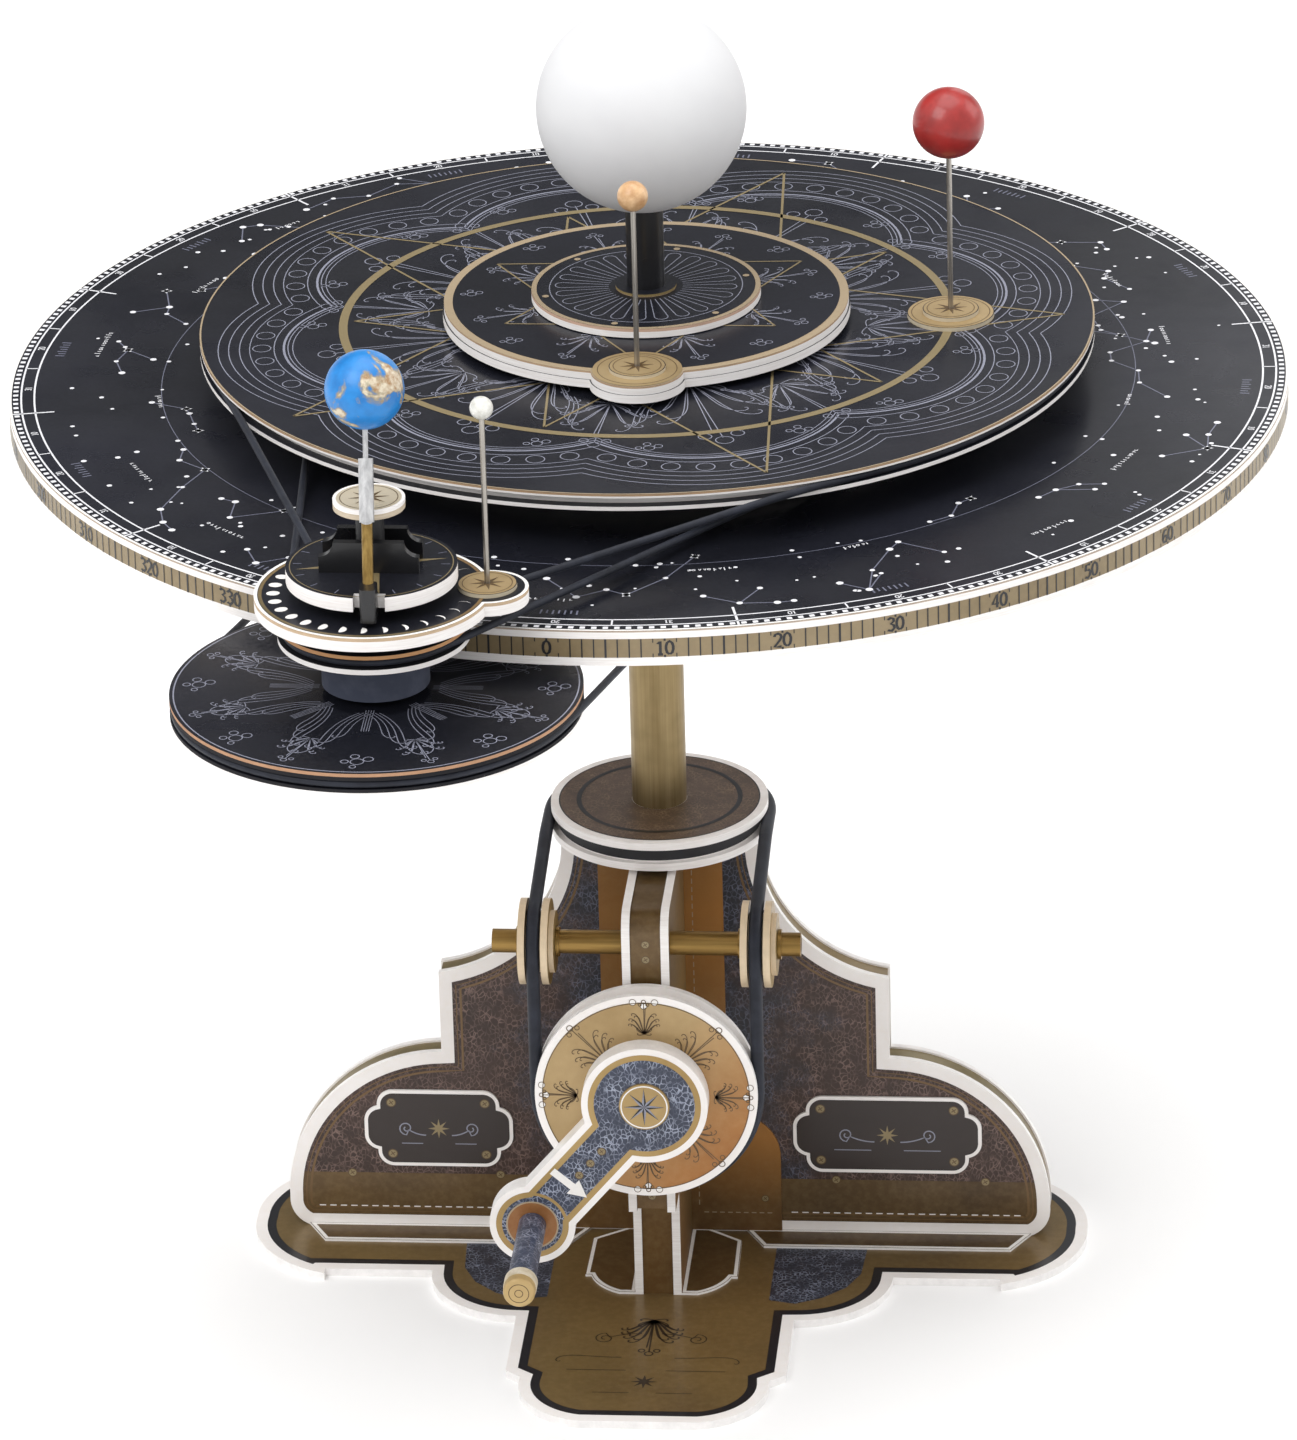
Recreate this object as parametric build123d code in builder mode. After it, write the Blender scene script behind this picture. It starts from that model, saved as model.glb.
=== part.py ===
"""Table-top orrery: a hand-cranked, belt-driven model of the inner solar system.

Frame: millimetres, +Z up, the column's axis is the Z axis and the base rests on z = 0.
The crank faces -Y.  Boards are thick card, rods are brass or steel, belts are round cord.
"""

import os
from math import asin, atan2, cos, degrees, hypot, radians, sin, tan

from build123d import *

os.makedirs("parts", exist_ok=True)

# ---- driving dimensions ----------------------------------------------------------------
BOARD = 2.5
RUN = 0.05                      # radial clearance of every running fit
BELT_R = 1.1                    # planet belts
DRIVE_BELT_R = 2.0              # belt from the crank to the column
BELT_GAP = 0.2                  # air between a belt and the pulley that it rides in

# pedestal
PANEL_T = 2.0
PANEL_GAP = 6.0
PANEL_FACE = PANEL_GAP / 2 + PANEL_T
PANEL_TOP = 138.0
PANEL_TOP_X = 30.0
SHOULDER_X, SHOULDER_Z, ARMPIT_Z = 69.0, 90.3, 63.1
PANEL_FOOT_X, PANEL_FOOT_Z = 117.8, 12.0
RIB_IN, RIB_OUT = 4.6, 7.1
RIB_DEPTH, RIB_HEEL = 61.0, 47.5
REAR_DEPTH, REAR_HEEL = 50.0, 38.5
RIB_STEP_Z, RIB_TOP, RIB_CORNER_R = 38.0, 137.4, 7.0
FLAP_T = 0.8

# crank, guides and the drive belt
CRANK_Z = 82.2
DRIVE_PITCH = 33.3
DRIVE_RIM = 33.5
GROOVE_Y = -66.5
DRIVE_GROOVE = 4.4
WHEEL_FRONT, WHEEL_BACK = -70.7, -62.3
ARM_FRONT = -77.2
CRANK_THROW, CRANK_ANGLE = 53.5, 229.4
CRANK_HUB_R, CRANK_END_R, CRANK_BAR_W = 19.0, 13.0, 19.5
CRANK_AXLE_R, BEARING_R = 3.0, 4.5
GRIP_R, GRIP_END, COLLAR_END, CAP_END = 4.2, -113.5, -117.8, -121.3
GUIDE_PITCH, GUIDE_Z = 11.5, 125.8
GUIDE_Y = GROOVE_Y + GUIDE_PITCH
GUIDE_RIM, GUIDE_AXLE_R, GUIDE_AXLE_HALF = 13.0, 3.6, 46.3

# column
SHAFT_R = 2.8
COLUMN_R, COLUMN_BORE = 8.3, 6.5
COLUMN_PULLEY_Z, COLUMN_PULLEY_TOP, COLUMN_PULLEY_R = 138.9, 148.0, 33.0
DRIVE_BELT_Z = (COLUMN_PULLEY_Z + COLUMN_PULLEY_TOP) / 2
ARM_Z = 259.0
ARM_TOP = ARM_Z + 2 * BOARD

# the large disc, its rim and what turns over it
ZODIAC_R, ZODIAC_TOP, ZODIAC_T = 190.0, 288.0, 10.7
MERCURY_PULLEY_PITCH = 98.1
VENUS_PITCH, VENUS_RIM = 131.0, 132.7
MERCURY_R, MERCURY_TUBE_R = 60.4, 5.0
SUN_DISC_R, SUN_TUBE_R = 34.0, 5.6
SUN_R, SUN_Z = 31.0, ZODIAC_TOP + 83.6
VENUS_PIN, VENUS_R, VENUS_Z = (90.0, 4.2), 10.6, ZODIAC_TOP + 77.8
MERCURY_PIN, MERCURY_BALL_R, MERCURY_Z = (2.0, -57.0), 4.5, ZODIAC_TOP + 78.0

# the Earth and Moon station at the end of the arm
STATION = (-60.7, -196.2)
STATION_DISTANCE = hypot(*STATION)
ROLLER_R = STATION_DISTANCE - ZODIAC_R - 0.2
EARTH_PITCH, EARTH_RIM = 56.8, 58.0
MERCURY_DRIVE_PITCH, VENUS_DRIVE_PITCH = 25.0, 6.63
STACK_RIM, MOON_DISC_R, EARTH_DISC_R, KNOB_R = 27.0, 33.1, 24.0, 10.1
EARTH_ROD_R = 2.0
EARTH_R, EARTH_Z = 11.1, ZODIAC_TOP + 74.9
EARTH_TILT, TILT_SIDE = 23.5, 4.0     # lean of the axis, and how far it turns towards -X
MOON_ARM, MOON_ANGLE, MOON_R, MOON_Z = 32.0, 6.0, 3.3, ZODIAC_TOP + 68.3
PIN_R = 0.8

MOON_PIN = (STATION[0] + MOON_ARM * cos(radians(MOON_ANGLE)),
            STATION[1] + MOON_ARM * sin(radians(MOON_ANGLE)))

# levels of the layers, measured from the top of the large disc
BELT_LEVEL_MERCURY = 3.7
BELT_LEVEL_SPINDLE = 8.3
VENUS_BOTTOM, VENUS_TOP = 11.8, 16.8
BELT_LEVEL_VENUS = (VENUS_BOTTOM + VENUS_TOP) / 2
MERCURY_BOTTOM, MERCURY_TOP = 19.0, 24.0
SUN_DISC_BOTTOM, SUN_DISC_TOP = 24.4, 27.2
MOON_BOTTOM, MOON_TOP = 10.4, 14.4
EARTH_DISC_BOTTOM, EARTH_DISC_TOP = 18.3, 22.5
KNOB_BOTTOM, KNOB_TOP = 39.9, 42.6
EARTH_PULLEY_Z, EARTH_PULLEY_T = 266.0, 7.0
EARTH_BELT_Z = EARTH_PULLEY_Z + EARTH_PULLEY_T / 2


# ---- helpers ---------------------------------------------------------------------------
def save(part, name):
    """Label a finished piece and write it to its own STEP file."""
    part.label = name
    export_step(part, f"parts/{name}.step")


def facing(y):
    """Plane at depth y that looks towards the viewer: local x is X and local y is Z."""
    return Plane(origin=(0, y, 0), x_dir=(1, 0, 0), z_dir=(0, -1, 0))


def sideways(x):
    """Plane at x that looks along +X: local x is Y and local y is Z."""
    return Plane(origin=(x, 0, 0), x_dir=(0, 1, 0), z_dir=(1, 0, 0))


def ring(plane, radius, thickness, bore=0.0, centre=(0, 0)):
    """Add a disc, with a bore if one is given, to the part that is being built."""
    with BuildSketch(plane) as face:
        with Locations(centre):
            Circle(radius)
            if bore:
                Circle(bore, mode=Mode.SUBTRACT)
    extrude(face.sketch, amount=thickness)


def pulley(plane_at, layers, bore, centre=(0, 0)):
    """Add glued discs of (start, end, radius) along the normal of plane_at."""
    for start, end, radius in layers:
        ring(plane_at(start), radius, abs(end - start), bore, centre)


def level(height):
    """Horizontal plane at a height above the large disc's top."""
    return Plane.XY.offset(ZODIAC_TOP + height)


def grooved(bottom, top, groove, rim, core):
    """Layers of a pulley whose groove of the given width is in its middle."""
    middle = (bottom + top) / 2
    low, high = middle - groove / 2, middle + groove / 2
    return [(bottom, low, rim), (low, high, core), (high, top, rim)]


def outline_face(points_and_arcs):
    """Add the face inside an outline of lines and arcs to the sketch that is being made."""
    with BuildLine() as outline:
        for kind, *points in points_and_arcs:
            if kind == "line":
                Line(*points)
            else:
                ThreePointArc(*points)
    make_face(outline.edges())


def belt_tangents(big, small, distance):
    """Angle of the tangent points of an open belt, from the line of centres."""
    return degrees(asin((big - small) / distance))


# ---- base --------------------------------------------------------------------------------
def base_half():
    """Half outline of the base plate, from its front middle to its rear middle."""
    front = [
        ("line", (0, -127.5), (18, -127.5)),
        ("arc", (18, -127.5), (33.5, -117.5), (37.5, -101)),
        ("line", (37.5, -101), (42.3, -97.2)),
        ("line", (42.3, -97.2), (42.3, -62.5)),
        ("arc", (42.3, -62.5), (62.5, -54.2), (70.9, -33.9)),
        ("line", (70.9, -33.9), (104, -33.9)),
        ("line", (104, -33.9), (104, -37)),
        ("arc", (104, -37), (121.5, -24.5), (129, 0)),
    ]
    rear = [(kind, *[(x, -y) for x, y in points]) for kind, *points in front]
    return front + rear


with BuildPart() as base_plate:
    with BuildSketch(Plane.XY):
        outline_face(base_half() + [("line", (0, 127.5), (0, -127.5))])
        mirror(about=Plane.YZ)
    extrude(amount=BOARD)
save(base_plate.part, "base_plate")


# ---- pedestal ----------------------------------------------------------------------------
def pedestal_outline():
    """Face of the pedestal's silhouette, in a sketch that faces the viewer."""
    outline_face([
        ("line", (0, BOARD), (PANEL_FOOT_X - 6, BOARD)),
        ("arc", (PANEL_FOOT_X - 6, BOARD), (PANEL_FOOT_X - 1.8, BOARD + 3.2),
         (PANEL_FOOT_X, PANEL_FOOT_Z)),
        ("arc", (PANEL_FOOT_X, PANEL_FOOT_Z), (103.5, 48.1), (SHOULDER_X, ARMPIT_Z)),
        ("line", (SHOULDER_X, ARMPIT_Z), (SHOULDER_X, SHOULDER_Z)),
        ("arc", (SHOULDER_X, SHOULDER_Z), (41.6, 105.1), (PANEL_TOP_X, PANEL_TOP)),
        ("line", (PANEL_TOP_X, PANEL_TOP), (0, PANEL_TOP)),
        ("line", (0, PANEL_TOP), (0, BOARD)),
    ])
    mirror(about=Plane.YZ)


with BuildPart() as pedestal_front_panel:
    with BuildSketch(facing(-PANEL_GAP / 2)):
        pedestal_outline()
    extrude(amount=PANEL_T)
save(pedestal_front_panel.part, "pedestal_front_panel")

with BuildPart() as pedestal_rear_panel:
    with BuildSketch(facing(PANEL_FACE)):
        pedestal_outline()
    extrude(amount=PANEL_T)
save(pedestal_rear_panel.part, "pedestal_rear_panel")

STRIP_INSET, STRIP_T = 0.6, 1.2
with BuildPart() as pedestal_edge_strip:
    with BuildSketch(facing(PANEL_GAP / 2)):
        pedestal_outline()
        offset(amount=-STRIP_INSET, kind=Kind.INTERSECTION, mode=Mode.REPLACE)
    extrude(amount=PANEL_GAP)
    with BuildSketch(facing(PANEL_GAP / 2)):
        pedestal_outline()
        offset(amount=-STRIP_INSET - STRIP_T, kind=Kind.INTERSECTION, mode=Mode.REPLACE)
    extrude(amount=PANEL_GAP, mode=Mode.SUBTRACT)
    with BuildSketch(Plane.XY.offset(PANEL_TOP - 5)):
        Circle(SHAFT_R + RUN)
    extrude(amount=6, mode=Mode.SUBTRACT)
save(pedestal_edge_strip.part, "pedestal_edge_strip")

BLOCK_LOW, BLOCK_HIGH, BLOCK_HALF = 20.0, 136.0, 12.0
with BuildPart() as shaft_block:
    with BuildSketch(facing(PANEL_GAP / 2)):
        with Locations((0, (BLOCK_LOW + BLOCK_HIGH) / 2)):
            Rectangle(2 * BLOCK_HALF, BLOCK_HIGH - BLOCK_LOW)
    extrude(amount=PANEL_GAP)
    with BuildSketch(Plane.XY.offset(BLOCK_LOW + 6)):
        Circle(SHAFT_R)
    extrude(amount=BLOCK_HIGH, mode=Mode.SUBTRACT)
save(shaft_block.part, "shaft_block")

SHAFT_TOP = ZODIAC_TOP + 52
with BuildPart() as centre_shaft:
    ring(Plane.XY.offset(BLOCK_LOW + 6), SHAFT_R, SHAFT_TOP - BLOCK_LOW - 6)
    chamfer(centre_shaft.edges().group_by(Axis.Z)[-1], 0.5)
save(centre_shaft.part, "centre_shaft")


def rib_edge(depth, heel, inset):
    """Lines of a rib's free edge from the base to the top, moved into the rib by inset."""
    out, back, step = inset - depth, inset - heel, RIB_STEP_Z + inset
    high, radius = RIB_TOP - inset, RIB_CORNER_R - inset
    middle = radius * (1 - cos(radians(45)))
    return [
        ("line", (back, BOARD), (back, step)),
        ("line", (back, step), (out, step)),
        ("line", (out, step), (out, high - radius)),
        ("arc", (out, high - radius), (out + middle, high - middle), (out + radius, high)),
    ]


def rib_profile(depth, heel):
    """Face of a rib in a sideways sketch, standing on the base and against a panel."""
    outline_face(rib_edge(depth, heel, 0) + [
        ("line", (RIB_CORNER_R - depth, RIB_TOP), (-PANEL_FACE, RIB_TOP)),
        ("line", (-PANEL_FACE, RIB_TOP), (-PANEL_FACE, BOARD)),
        ("line", (-PANEL_FACE, BOARD), (-heel, BOARD)),
    ])


with BuildPart() as front_ribs:
    for side in (-1, 1):
        with BuildSketch(sideways(min(side * RIB_IN, side * RIB_OUT))):
            rib_profile(RIB_DEPTH, RIB_HEEL)
            with Locations((GUIDE_Y, GUIDE_Z)):
                Circle(GUIDE_AXLE_R, mode=Mode.SUBTRACT)
        extrude(amount=RIB_OUT - RIB_IN)
save(front_ribs.part, "front_ribs")

with BuildPart() as rear_ribs:
    for side in (-1, 1):
        with BuildSketch(sideways(min(side * RIB_IN, side * RIB_OUT))):
            rib_profile(REAR_DEPTH, REAR_HEEL)
            mirror(about=Plane.YZ, mode=Mode.REPLACE)
        extrude(amount=RIB_OUT - RIB_IN)
save(rear_ribs.part, "rear_ribs")

EDGE_INSET, EDGE_T = 0.8, 1.2


def strip_profile(depth, heel):
    """Section of the strip that closes the gap between two ribs, just inside their edges."""
    inner = EDGE_INSET + EDGE_T
    outline_face(rib_edge(depth, heel, EDGE_INSET) + rib_edge(depth, heel, inner) + [
        ("line", (EDGE_INSET - heel, BOARD), (inner - heel, BOARD)),
        ("line", (RIB_CORNER_R - depth, RIB_TOP - EDGE_INSET), (RIB_CORNER_R - depth, RIB_TOP - inner)),
    ])


with BuildPart() as rib_strips:
    with BuildSketch(sideways(-RIB_IN)):
        strip_profile(REAR_DEPTH, REAR_HEEL)
        mirror(about=Plane.YZ, mode=Mode.REPLACE)
    extrude(amount=2 * RIB_IN)
    with BuildSketch(sideways(-RIB_IN)):
        strip_profile(RIB_DEPTH, RIB_HEEL)
    extrude(amount=2 * RIB_IN)
    with BuildSketch(facing(-RIB_HEEL)):
        with Locations((0, CRANK_Z)):
            Circle(BEARING_R + RUN)
    extrude(amount=RIB_DEPTH - RIB_HEEL, mode=Mode.SUBTRACT)
save(rib_strips.part, "rib_strips")

# glue flaps that fold from the ribs onto the front panel
UPPER_FLAP_X, LOWER_FLAP_X, FLAP_STEP_Z = 19.0, 35.0, 43.0
FLAP_LOW, FLAP_TOP = BOARD + FLAP_T, RIB_TOP
with BuildPart() as rib_flaps:
    for side in (-1, 1):
        with BuildSketch(facing(-PANEL_FACE)):
            outline_face([
                ("line", (side * RIB_OUT, FLAP_LOW), (side * LOWER_FLAP_X, FLAP_LOW)),
                ("line", (side * LOWER_FLAP_X, FLAP_LOW), (side * LOWER_FLAP_X, 30)),
                ("arc", (side * LOWER_FLAP_X, 30), (side * 31.4, 38.6), (side * 24, FLAP_STEP_Z)),
                ("line", (side * 24, FLAP_STEP_Z), (side * UPPER_FLAP_X, FLAP_STEP_Z)),
                ("line", (side * UPPER_FLAP_X, FLAP_STEP_Z), (side * UPPER_FLAP_X, FLAP_TOP)),
                ("line", (side * UPPER_FLAP_X, FLAP_TOP), (side * RIB_OUT, FLAP_TOP)),
                ("line", (side * RIB_OUT, FLAP_TOP), (side * RIB_OUT, FLAP_LOW)),
            ])
        extrude(amount=FLAP_T)
save(rib_flaps.part, "rib_flaps")

# foot flanges: of the pedestal along the base, and of the front ribs
FOOT_W, FOOT_END_X = 11.0, 112.0
with BuildPart() as foot_flanges:
    for side in (-1, 1):
        with BuildSketch(Plane.XY.offset(BOARD)):
            for face, near in ((-1, 24), (1, 10)):
                Polygon((side * near, face * PANEL_FACE), (side * FOOT_END_X, face * PANEL_FACE),
                        (side * (FOOT_END_X - 6), face * (PANEL_FACE + FOOT_W)),
                        (side * (near + 6), face * (PANEL_FACE + FOOT_W)), align=None)
            outline_face([
                ("line", (side * RIB_OUT, -PANEL_FACE), (side * 12.7, -PANEL_FACE)),
                ("line", (side * 12.7, -PANEL_FACE), (side * 23, -12.5)),
                ("line", (side * 23, -12.5), (side * 23.4, -36.5)),
                ("line", (side * 23.4, -36.5), (side * 21.5, -36.5)),
                ("arc", (side * 21.5, -36.5), (side * 18, -43), (side * 12, -RIB_HEEL)),
                ("line", (side * 12, -RIB_HEEL), (side * RIB_OUT, -RIB_HEEL)),
                ("line", (side * RIB_OUT, -RIB_HEEL), (side * RIB_OUT, -PANEL_FACE)),
            ])
        extrude(amount=FLAP_T)
save(foot_flanges.part, "foot_flanges")


PLAQUES = ((-70.6, 37.0, 46.0), (68.0, 37.0, 58.0))
with BuildPart() as side_plaques:
    for centre_x, centre_z, width in PLAQUES:
        with BuildSketch(facing(-PANEL_FACE)):
            with Locations((centre_x, centre_z)):
                RectangleRounded(width - 8, 26, 5)
                RectangleRounded(width, 15, 5)
        extrude(amount=FLAP_T)
save(side_plaques.part, "side_plaques")

# ---- crank -------------------------------------------------------------------------------
with BuildPart() as crank_bearing:
    ring(Plane(origin=(0, -PANEL_FACE - 1, CRANK_Z), x_dir=(1, 0, 0), z_dir=(0, -1, 0)),
         BEARING_R, RIB_DEPTH - PANEL_FACE - 1, CRANK_AXLE_R + RUN)
save(crank_bearing.part, "crank_bearing")


def crank_plane(y):
    """Plane at depth y whose origin is on the crank's axis."""
    return Plane(origin=(0, y, CRANK_Z), x_dir=(1, 0, 0), z_dir=(0, -1, 0))


with BuildPart() as crank_axle:
    ring(crank_plane(-10), CRANK_AXLE_R, ARM_FRONT * -1 - 10)
    chamfer(crank_axle.edges().group_by(Axis.Y)[-1], 0.4)
save(crank_axle.part, "crank_axle")

wheel_core = DRIVE_PITCH - DRIVE_BELT_R - BELT_GAP
groove_front, groove_back = GROOVE_Y - DRIVE_GROOVE / 2, GROOVE_Y + DRIVE_GROOVE / 2
with BuildPart() as crank_wheel:
    pulley(crank_plane, [(WHEEL_BACK, groove_back, DRIVE_RIM), (groove_back, groove_front, wheel_core),
                         (groove_front, WHEEL_FRONT, DRIVE_RIM)], CRANK_AXLE_R)
save(crank_wheel.part, "crank_wheel")

GRIP_CENTRE = (CRANK_THROW * cos(radians(CRANK_ANGLE)), CRANK_THROW * sin(radians(CRANK_ANGLE)))
GRIP_PIN_R = 2.0
with BuildPart() as crank_arm:
    with BuildSketch(crank_plane(WHEEL_FRONT)):
        Circle(CRANK_HUB_R)
        with Locations(GRIP_CENTRE):
            Circle(CRANK_END_R)
        with Locations(Location((GRIP_CENTRE[0] / 2, GRIP_CENTRE[1] / 2), CRANK_ANGLE)):
            Rectangle(CRANK_THROW, CRANK_BAR_W)
        Circle(CRANK_AXLE_R, mode=Mode.SUBTRACT)
        with Locations(GRIP_CENTRE):
            Circle(GRIP_PIN_R, mode=Mode.SUBTRACT)
    extrude(amount=WHEEL_FRONT - ARM_FRONT)
save(crank_arm.part, "crank_arm")

MEDALLION_R, MEDALLION_T = 7.6, 0.9
with BuildPart() as crank_medallion:
    ring(crank_plane(ARM_FRONT), MEDALLION_R, MEDALLION_T)
    fillet(crank_medallion.edges().group_by(Axis.Y)[0], 0.4)
save(crank_medallion.part, "crank_medallion")

COLLAR_R, CAP_R, GRIP_AIR = 5.0, 4.8, 0.3
with BuildPart() as grip_pin:
    ring(crank_plane(WHEEL_FRONT), GRIP_PIN_R, WHEEL_FRONT - GRIP_END + GRIP_AIR, 0, GRIP_CENTRE)
    ring(crank_plane(COLLAR_END), CAP_R, COLLAR_END - CAP_END, 0, GRIP_CENTRE)
    fillet(grip_pin.edges().group_by(Axis.Y)[0], 1.0)
    ring(crank_plane(GRIP_END - GRIP_AIR), COLLAR_R, GRIP_END - GRIP_AIR - COLLAR_END, 0, GRIP_CENTRE)
save(grip_pin.part, "grip_pin")

with BuildPart() as crank_grip:
    ring(crank_plane(ARM_FRONT - GRIP_AIR), GRIP_R, ARM_FRONT - GRIP_AIR - GRIP_END,
         GRIP_PIN_R + RUN, GRIP_CENTRE)
save(crank_grip.part, "crank_grip")


# ---- guide pulleys -------------------------------------------------------------------------
def guide_plane(x):
    """Plane at x whose origin is on the guide axle."""
    return Plane(origin=(x, GUIDE_Y, GUIDE_Z), x_dir=(0, 1, 0), z_dir=(1, 0, 0))


AXLE_HOLE_R, AXLE_HOLE_DEPTH = 2.6, 5.0
with BuildPart() as guide_axle:
    ring(guide_plane(-GUIDE_AXLE_HALF), GUIDE_AXLE_R, 2 * GUIDE_AXLE_HALF)
    for start in (-GUIDE_AXLE_HALF, GUIDE_AXLE_HALF - AXLE_HOLE_DEPTH):
        with BuildSketch(guide_plane(start)):
            Circle(AXLE_HOLE_R)
        extrude(amount=AXLE_HOLE_DEPTH, mode=Mode.SUBTRACT)
save(guide_axle.part, "guide_axle")

GUIDE_GROOVE, GUIDE_FLANGE, GUIDE_BOSS, GUIDE_BOSS_R = 4.8, 2.1, 1.5, 9.4
guide_core = GUIDE_PITCH - DRIVE_BELT_R - BELT_GAP


def guide_layers(middle):
    """Layers of a guide pulley about the plane where its belt runs, its boss towards +X."""
    half = GUIDE_GROOVE / 2
    rim = half + GUIDE_FLANGE
    return [(middle - rim, middle - half, GUIDE_RIM),
            (middle - half, middle + half, guide_core),
            (middle + half, middle + rim, GUIDE_RIM),
            (middle + rim, middle + rim + GUIDE_BOSS, GUIDE_BOSS_R)]


with BuildPart() as guide_pulley_left:
    pulley(guide_plane, guide_layers(-DRIVE_PITCH), GUIDE_AXLE_R + RUN)
save(guide_pulley_left.part, "guide_pulley_left")

with BuildPart() as guide_pulley_right:
    pulley(guide_plane, guide_layers(DRIVE_PITCH), GUIDE_AXLE_R + RUN)
save(guide_pulley_right.part, "guide_pulley_right")

GUIDE_HALF = GUIDE_GROOVE / 2 + GUIDE_FLANGE
COLLAR_T, AXLE_COLLAR_R, COLLAR_AIR = 1.0, 4.6, 0.2
with BuildPart() as guide_collars:
    for middle in (-DRIVE_PITCH, DRIVE_PITCH):
        ring(guide_plane(middle - GUIDE_HALF - COLLAR_AIR - COLLAR_T), AXLE_COLLAR_R, COLLAR_T,
             GUIDE_AXLE_R)
        ring(guide_plane(middle + GUIDE_HALF + GUIDE_BOSS + COLLAR_AIR), AXLE_COLLAR_R, COLLAR_T,
             GUIDE_AXLE_R)
save(guide_collars.part, "guide_collars")

# ---- drive belt: wheel, guides and column ------------------------------------------------------
SLOPE_START = -16.0
to_guide = (GUIDE_Y - SLOPE_START, GUIDE_Z - DRIVE_BELT_Z)
slope = atan2(-to_guide[1], -to_guide[0]) - asin(GUIDE_PITCH / hypot(*to_guide))
corner_z = DRIVE_BELT_Z + (GROOVE_Y - SLOPE_START) * tan(slope)


def drive_strand(x):
    """Belt from the column pulley over a guide and down to the wheel."""
    return [(x, 0, DRIVE_BELT_Z), (x, SLOPE_START, DRIVE_BELT_Z), (x, GROOVE_Y, corner_z),
            (x, GROOVE_Y, CRANK_Z)]


with BuildPart() as drive_belt:
    with BuildLine() as drive_path:
        FilletPolyline(*drive_strand(DRIVE_PITCH), radius=[28, GUIDE_PITCH])
        ThreePointArc((DRIVE_PITCH, GROOVE_Y, CRANK_Z), (0, GROOVE_Y, CRANK_Z - DRIVE_PITCH),
                      (-DRIVE_PITCH, GROOVE_Y, CRANK_Z))
        FilletPolyline(*reversed(drive_strand(-DRIVE_PITCH)), radius=[GUIDE_PITCH, 28])
        ThreePointArc((-DRIVE_PITCH, 0, DRIVE_BELT_Z), (0, DRIVE_PITCH, DRIVE_BELT_Z),
                      (DRIVE_PITCH, 0, DRIVE_BELT_Z))
    with BuildSketch(Plane(origin=(DRIVE_PITCH, 0, DRIVE_BELT_Z), z_dir=(0, -1, 0))):
        Circle(DRIVE_BELT_R)
    sweep(path=drive_path.wire())
save(drive_belt.part, "drive_belt")

# ---- column and arm -------------------------------------------------------------------------
with BuildPart() as column_tube:
    ring(Plane.XY.offset(COLUMN_PULLEY_Z), COLUMN_R, ARM_TOP - COLUMN_PULLEY_Z, COLUMN_BORE)
save(column_tube.part, "column_tube")

BUSH_LENGTH = 12.0
with BuildPart() as column_bushes:
    for bottom in (COLUMN_PULLEY_Z, ARM_TOP - BUSH_LENGTH):
        ring(Plane.XY.offset(bottom), COLUMN_BORE, BUSH_LENGTH, SHAFT_R + RUN)
save(column_bushes.part, "column_bushes")

column_core = DRIVE_PITCH - DRIVE_BELT_R - BELT_GAP
with BuildPart() as column_pulley:
    pulley(Plane.XY.offset,
           grooved(COLUMN_PULLEY_Z, COLUMN_PULLEY_TOP, DRIVE_GROOVE, COLUMN_PULLEY_R, column_core),
           COLUMN_R)
save(column_pulley.part, "column_pulley")

ARM_W = 26.0
arm_angle = degrees(atan2(STATION[1], STATION[0]))
with BuildPart() as arm_boards:
    for layer in (0, 1):
        with BuildSketch(Plane.XY.offset(ARM_Z + layer * BOARD)):
            with Locations(Location((STATION[0] / 2, STATION[1] / 2), arm_angle)):
                Rectangle(STATION_DISTANCE, ARM_W - 4 * layer)
            Circle(ARM_W * 0.75)
            with Locations(STATION):
                Circle(ARM_W / 2 - 2 * layer)
                Circle(EARTH_ROD_R + RUN, mode=Mode.SUBTRACT)
            Circle(COLUMN_R, mode=Mode.SUBTRACT)
        extrude(amount=BOARD)
save(arm_boards.part, "arm_boards")

with BuildPart() as thrust_washers:
    ring(Plane.XY.offset(PANEL_TOP), 6.0, 0.6, SHAFT_R)
    ring(Plane.XY.offset(ARM_TOP + 0.3), 8.0, EARTH_PULLEY_Z - ARM_TOP - 0.3, SHAFT_R)
    ring(level(0), 12.0, 0.9, SHAFT_R)
save(thrust_washers.part, "thrust_washers")

# ---- the large fixed disc and the fixed pulley below it -----------------------------------------
ZODIAC_BOTTOM = ZODIAC_TOP - ZODIAC_T
BAND_T = 3.0
with BuildPart() as zodiac_top_board:
    ring(Plane.XY.offset(ZODIAC_TOP - BOARD), ZODIAC_R, BOARD, SHAFT_R)
save(zodiac_top_board.part, "zodiac_top_board")

with BuildPart() as zodiac_bottom_board:
    ring(Plane.XY.offset(ZODIAC_BOTTOM), ZODIAC_R, BOARD, SHAFT_R)
save(zodiac_bottom_board.part, "zodiac_bottom_board")

with BuildPart() as zodiac_rim_band:
    ring(Plane.XY.offset(ZODIAC_BOTTOM + BOARD), ZODIAC_R, ZODIAC_T - 2 * BOARD, ZODIAC_R - BAND_T)
save(zodiac_rim_band.part, "zodiac_rim_band")

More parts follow.
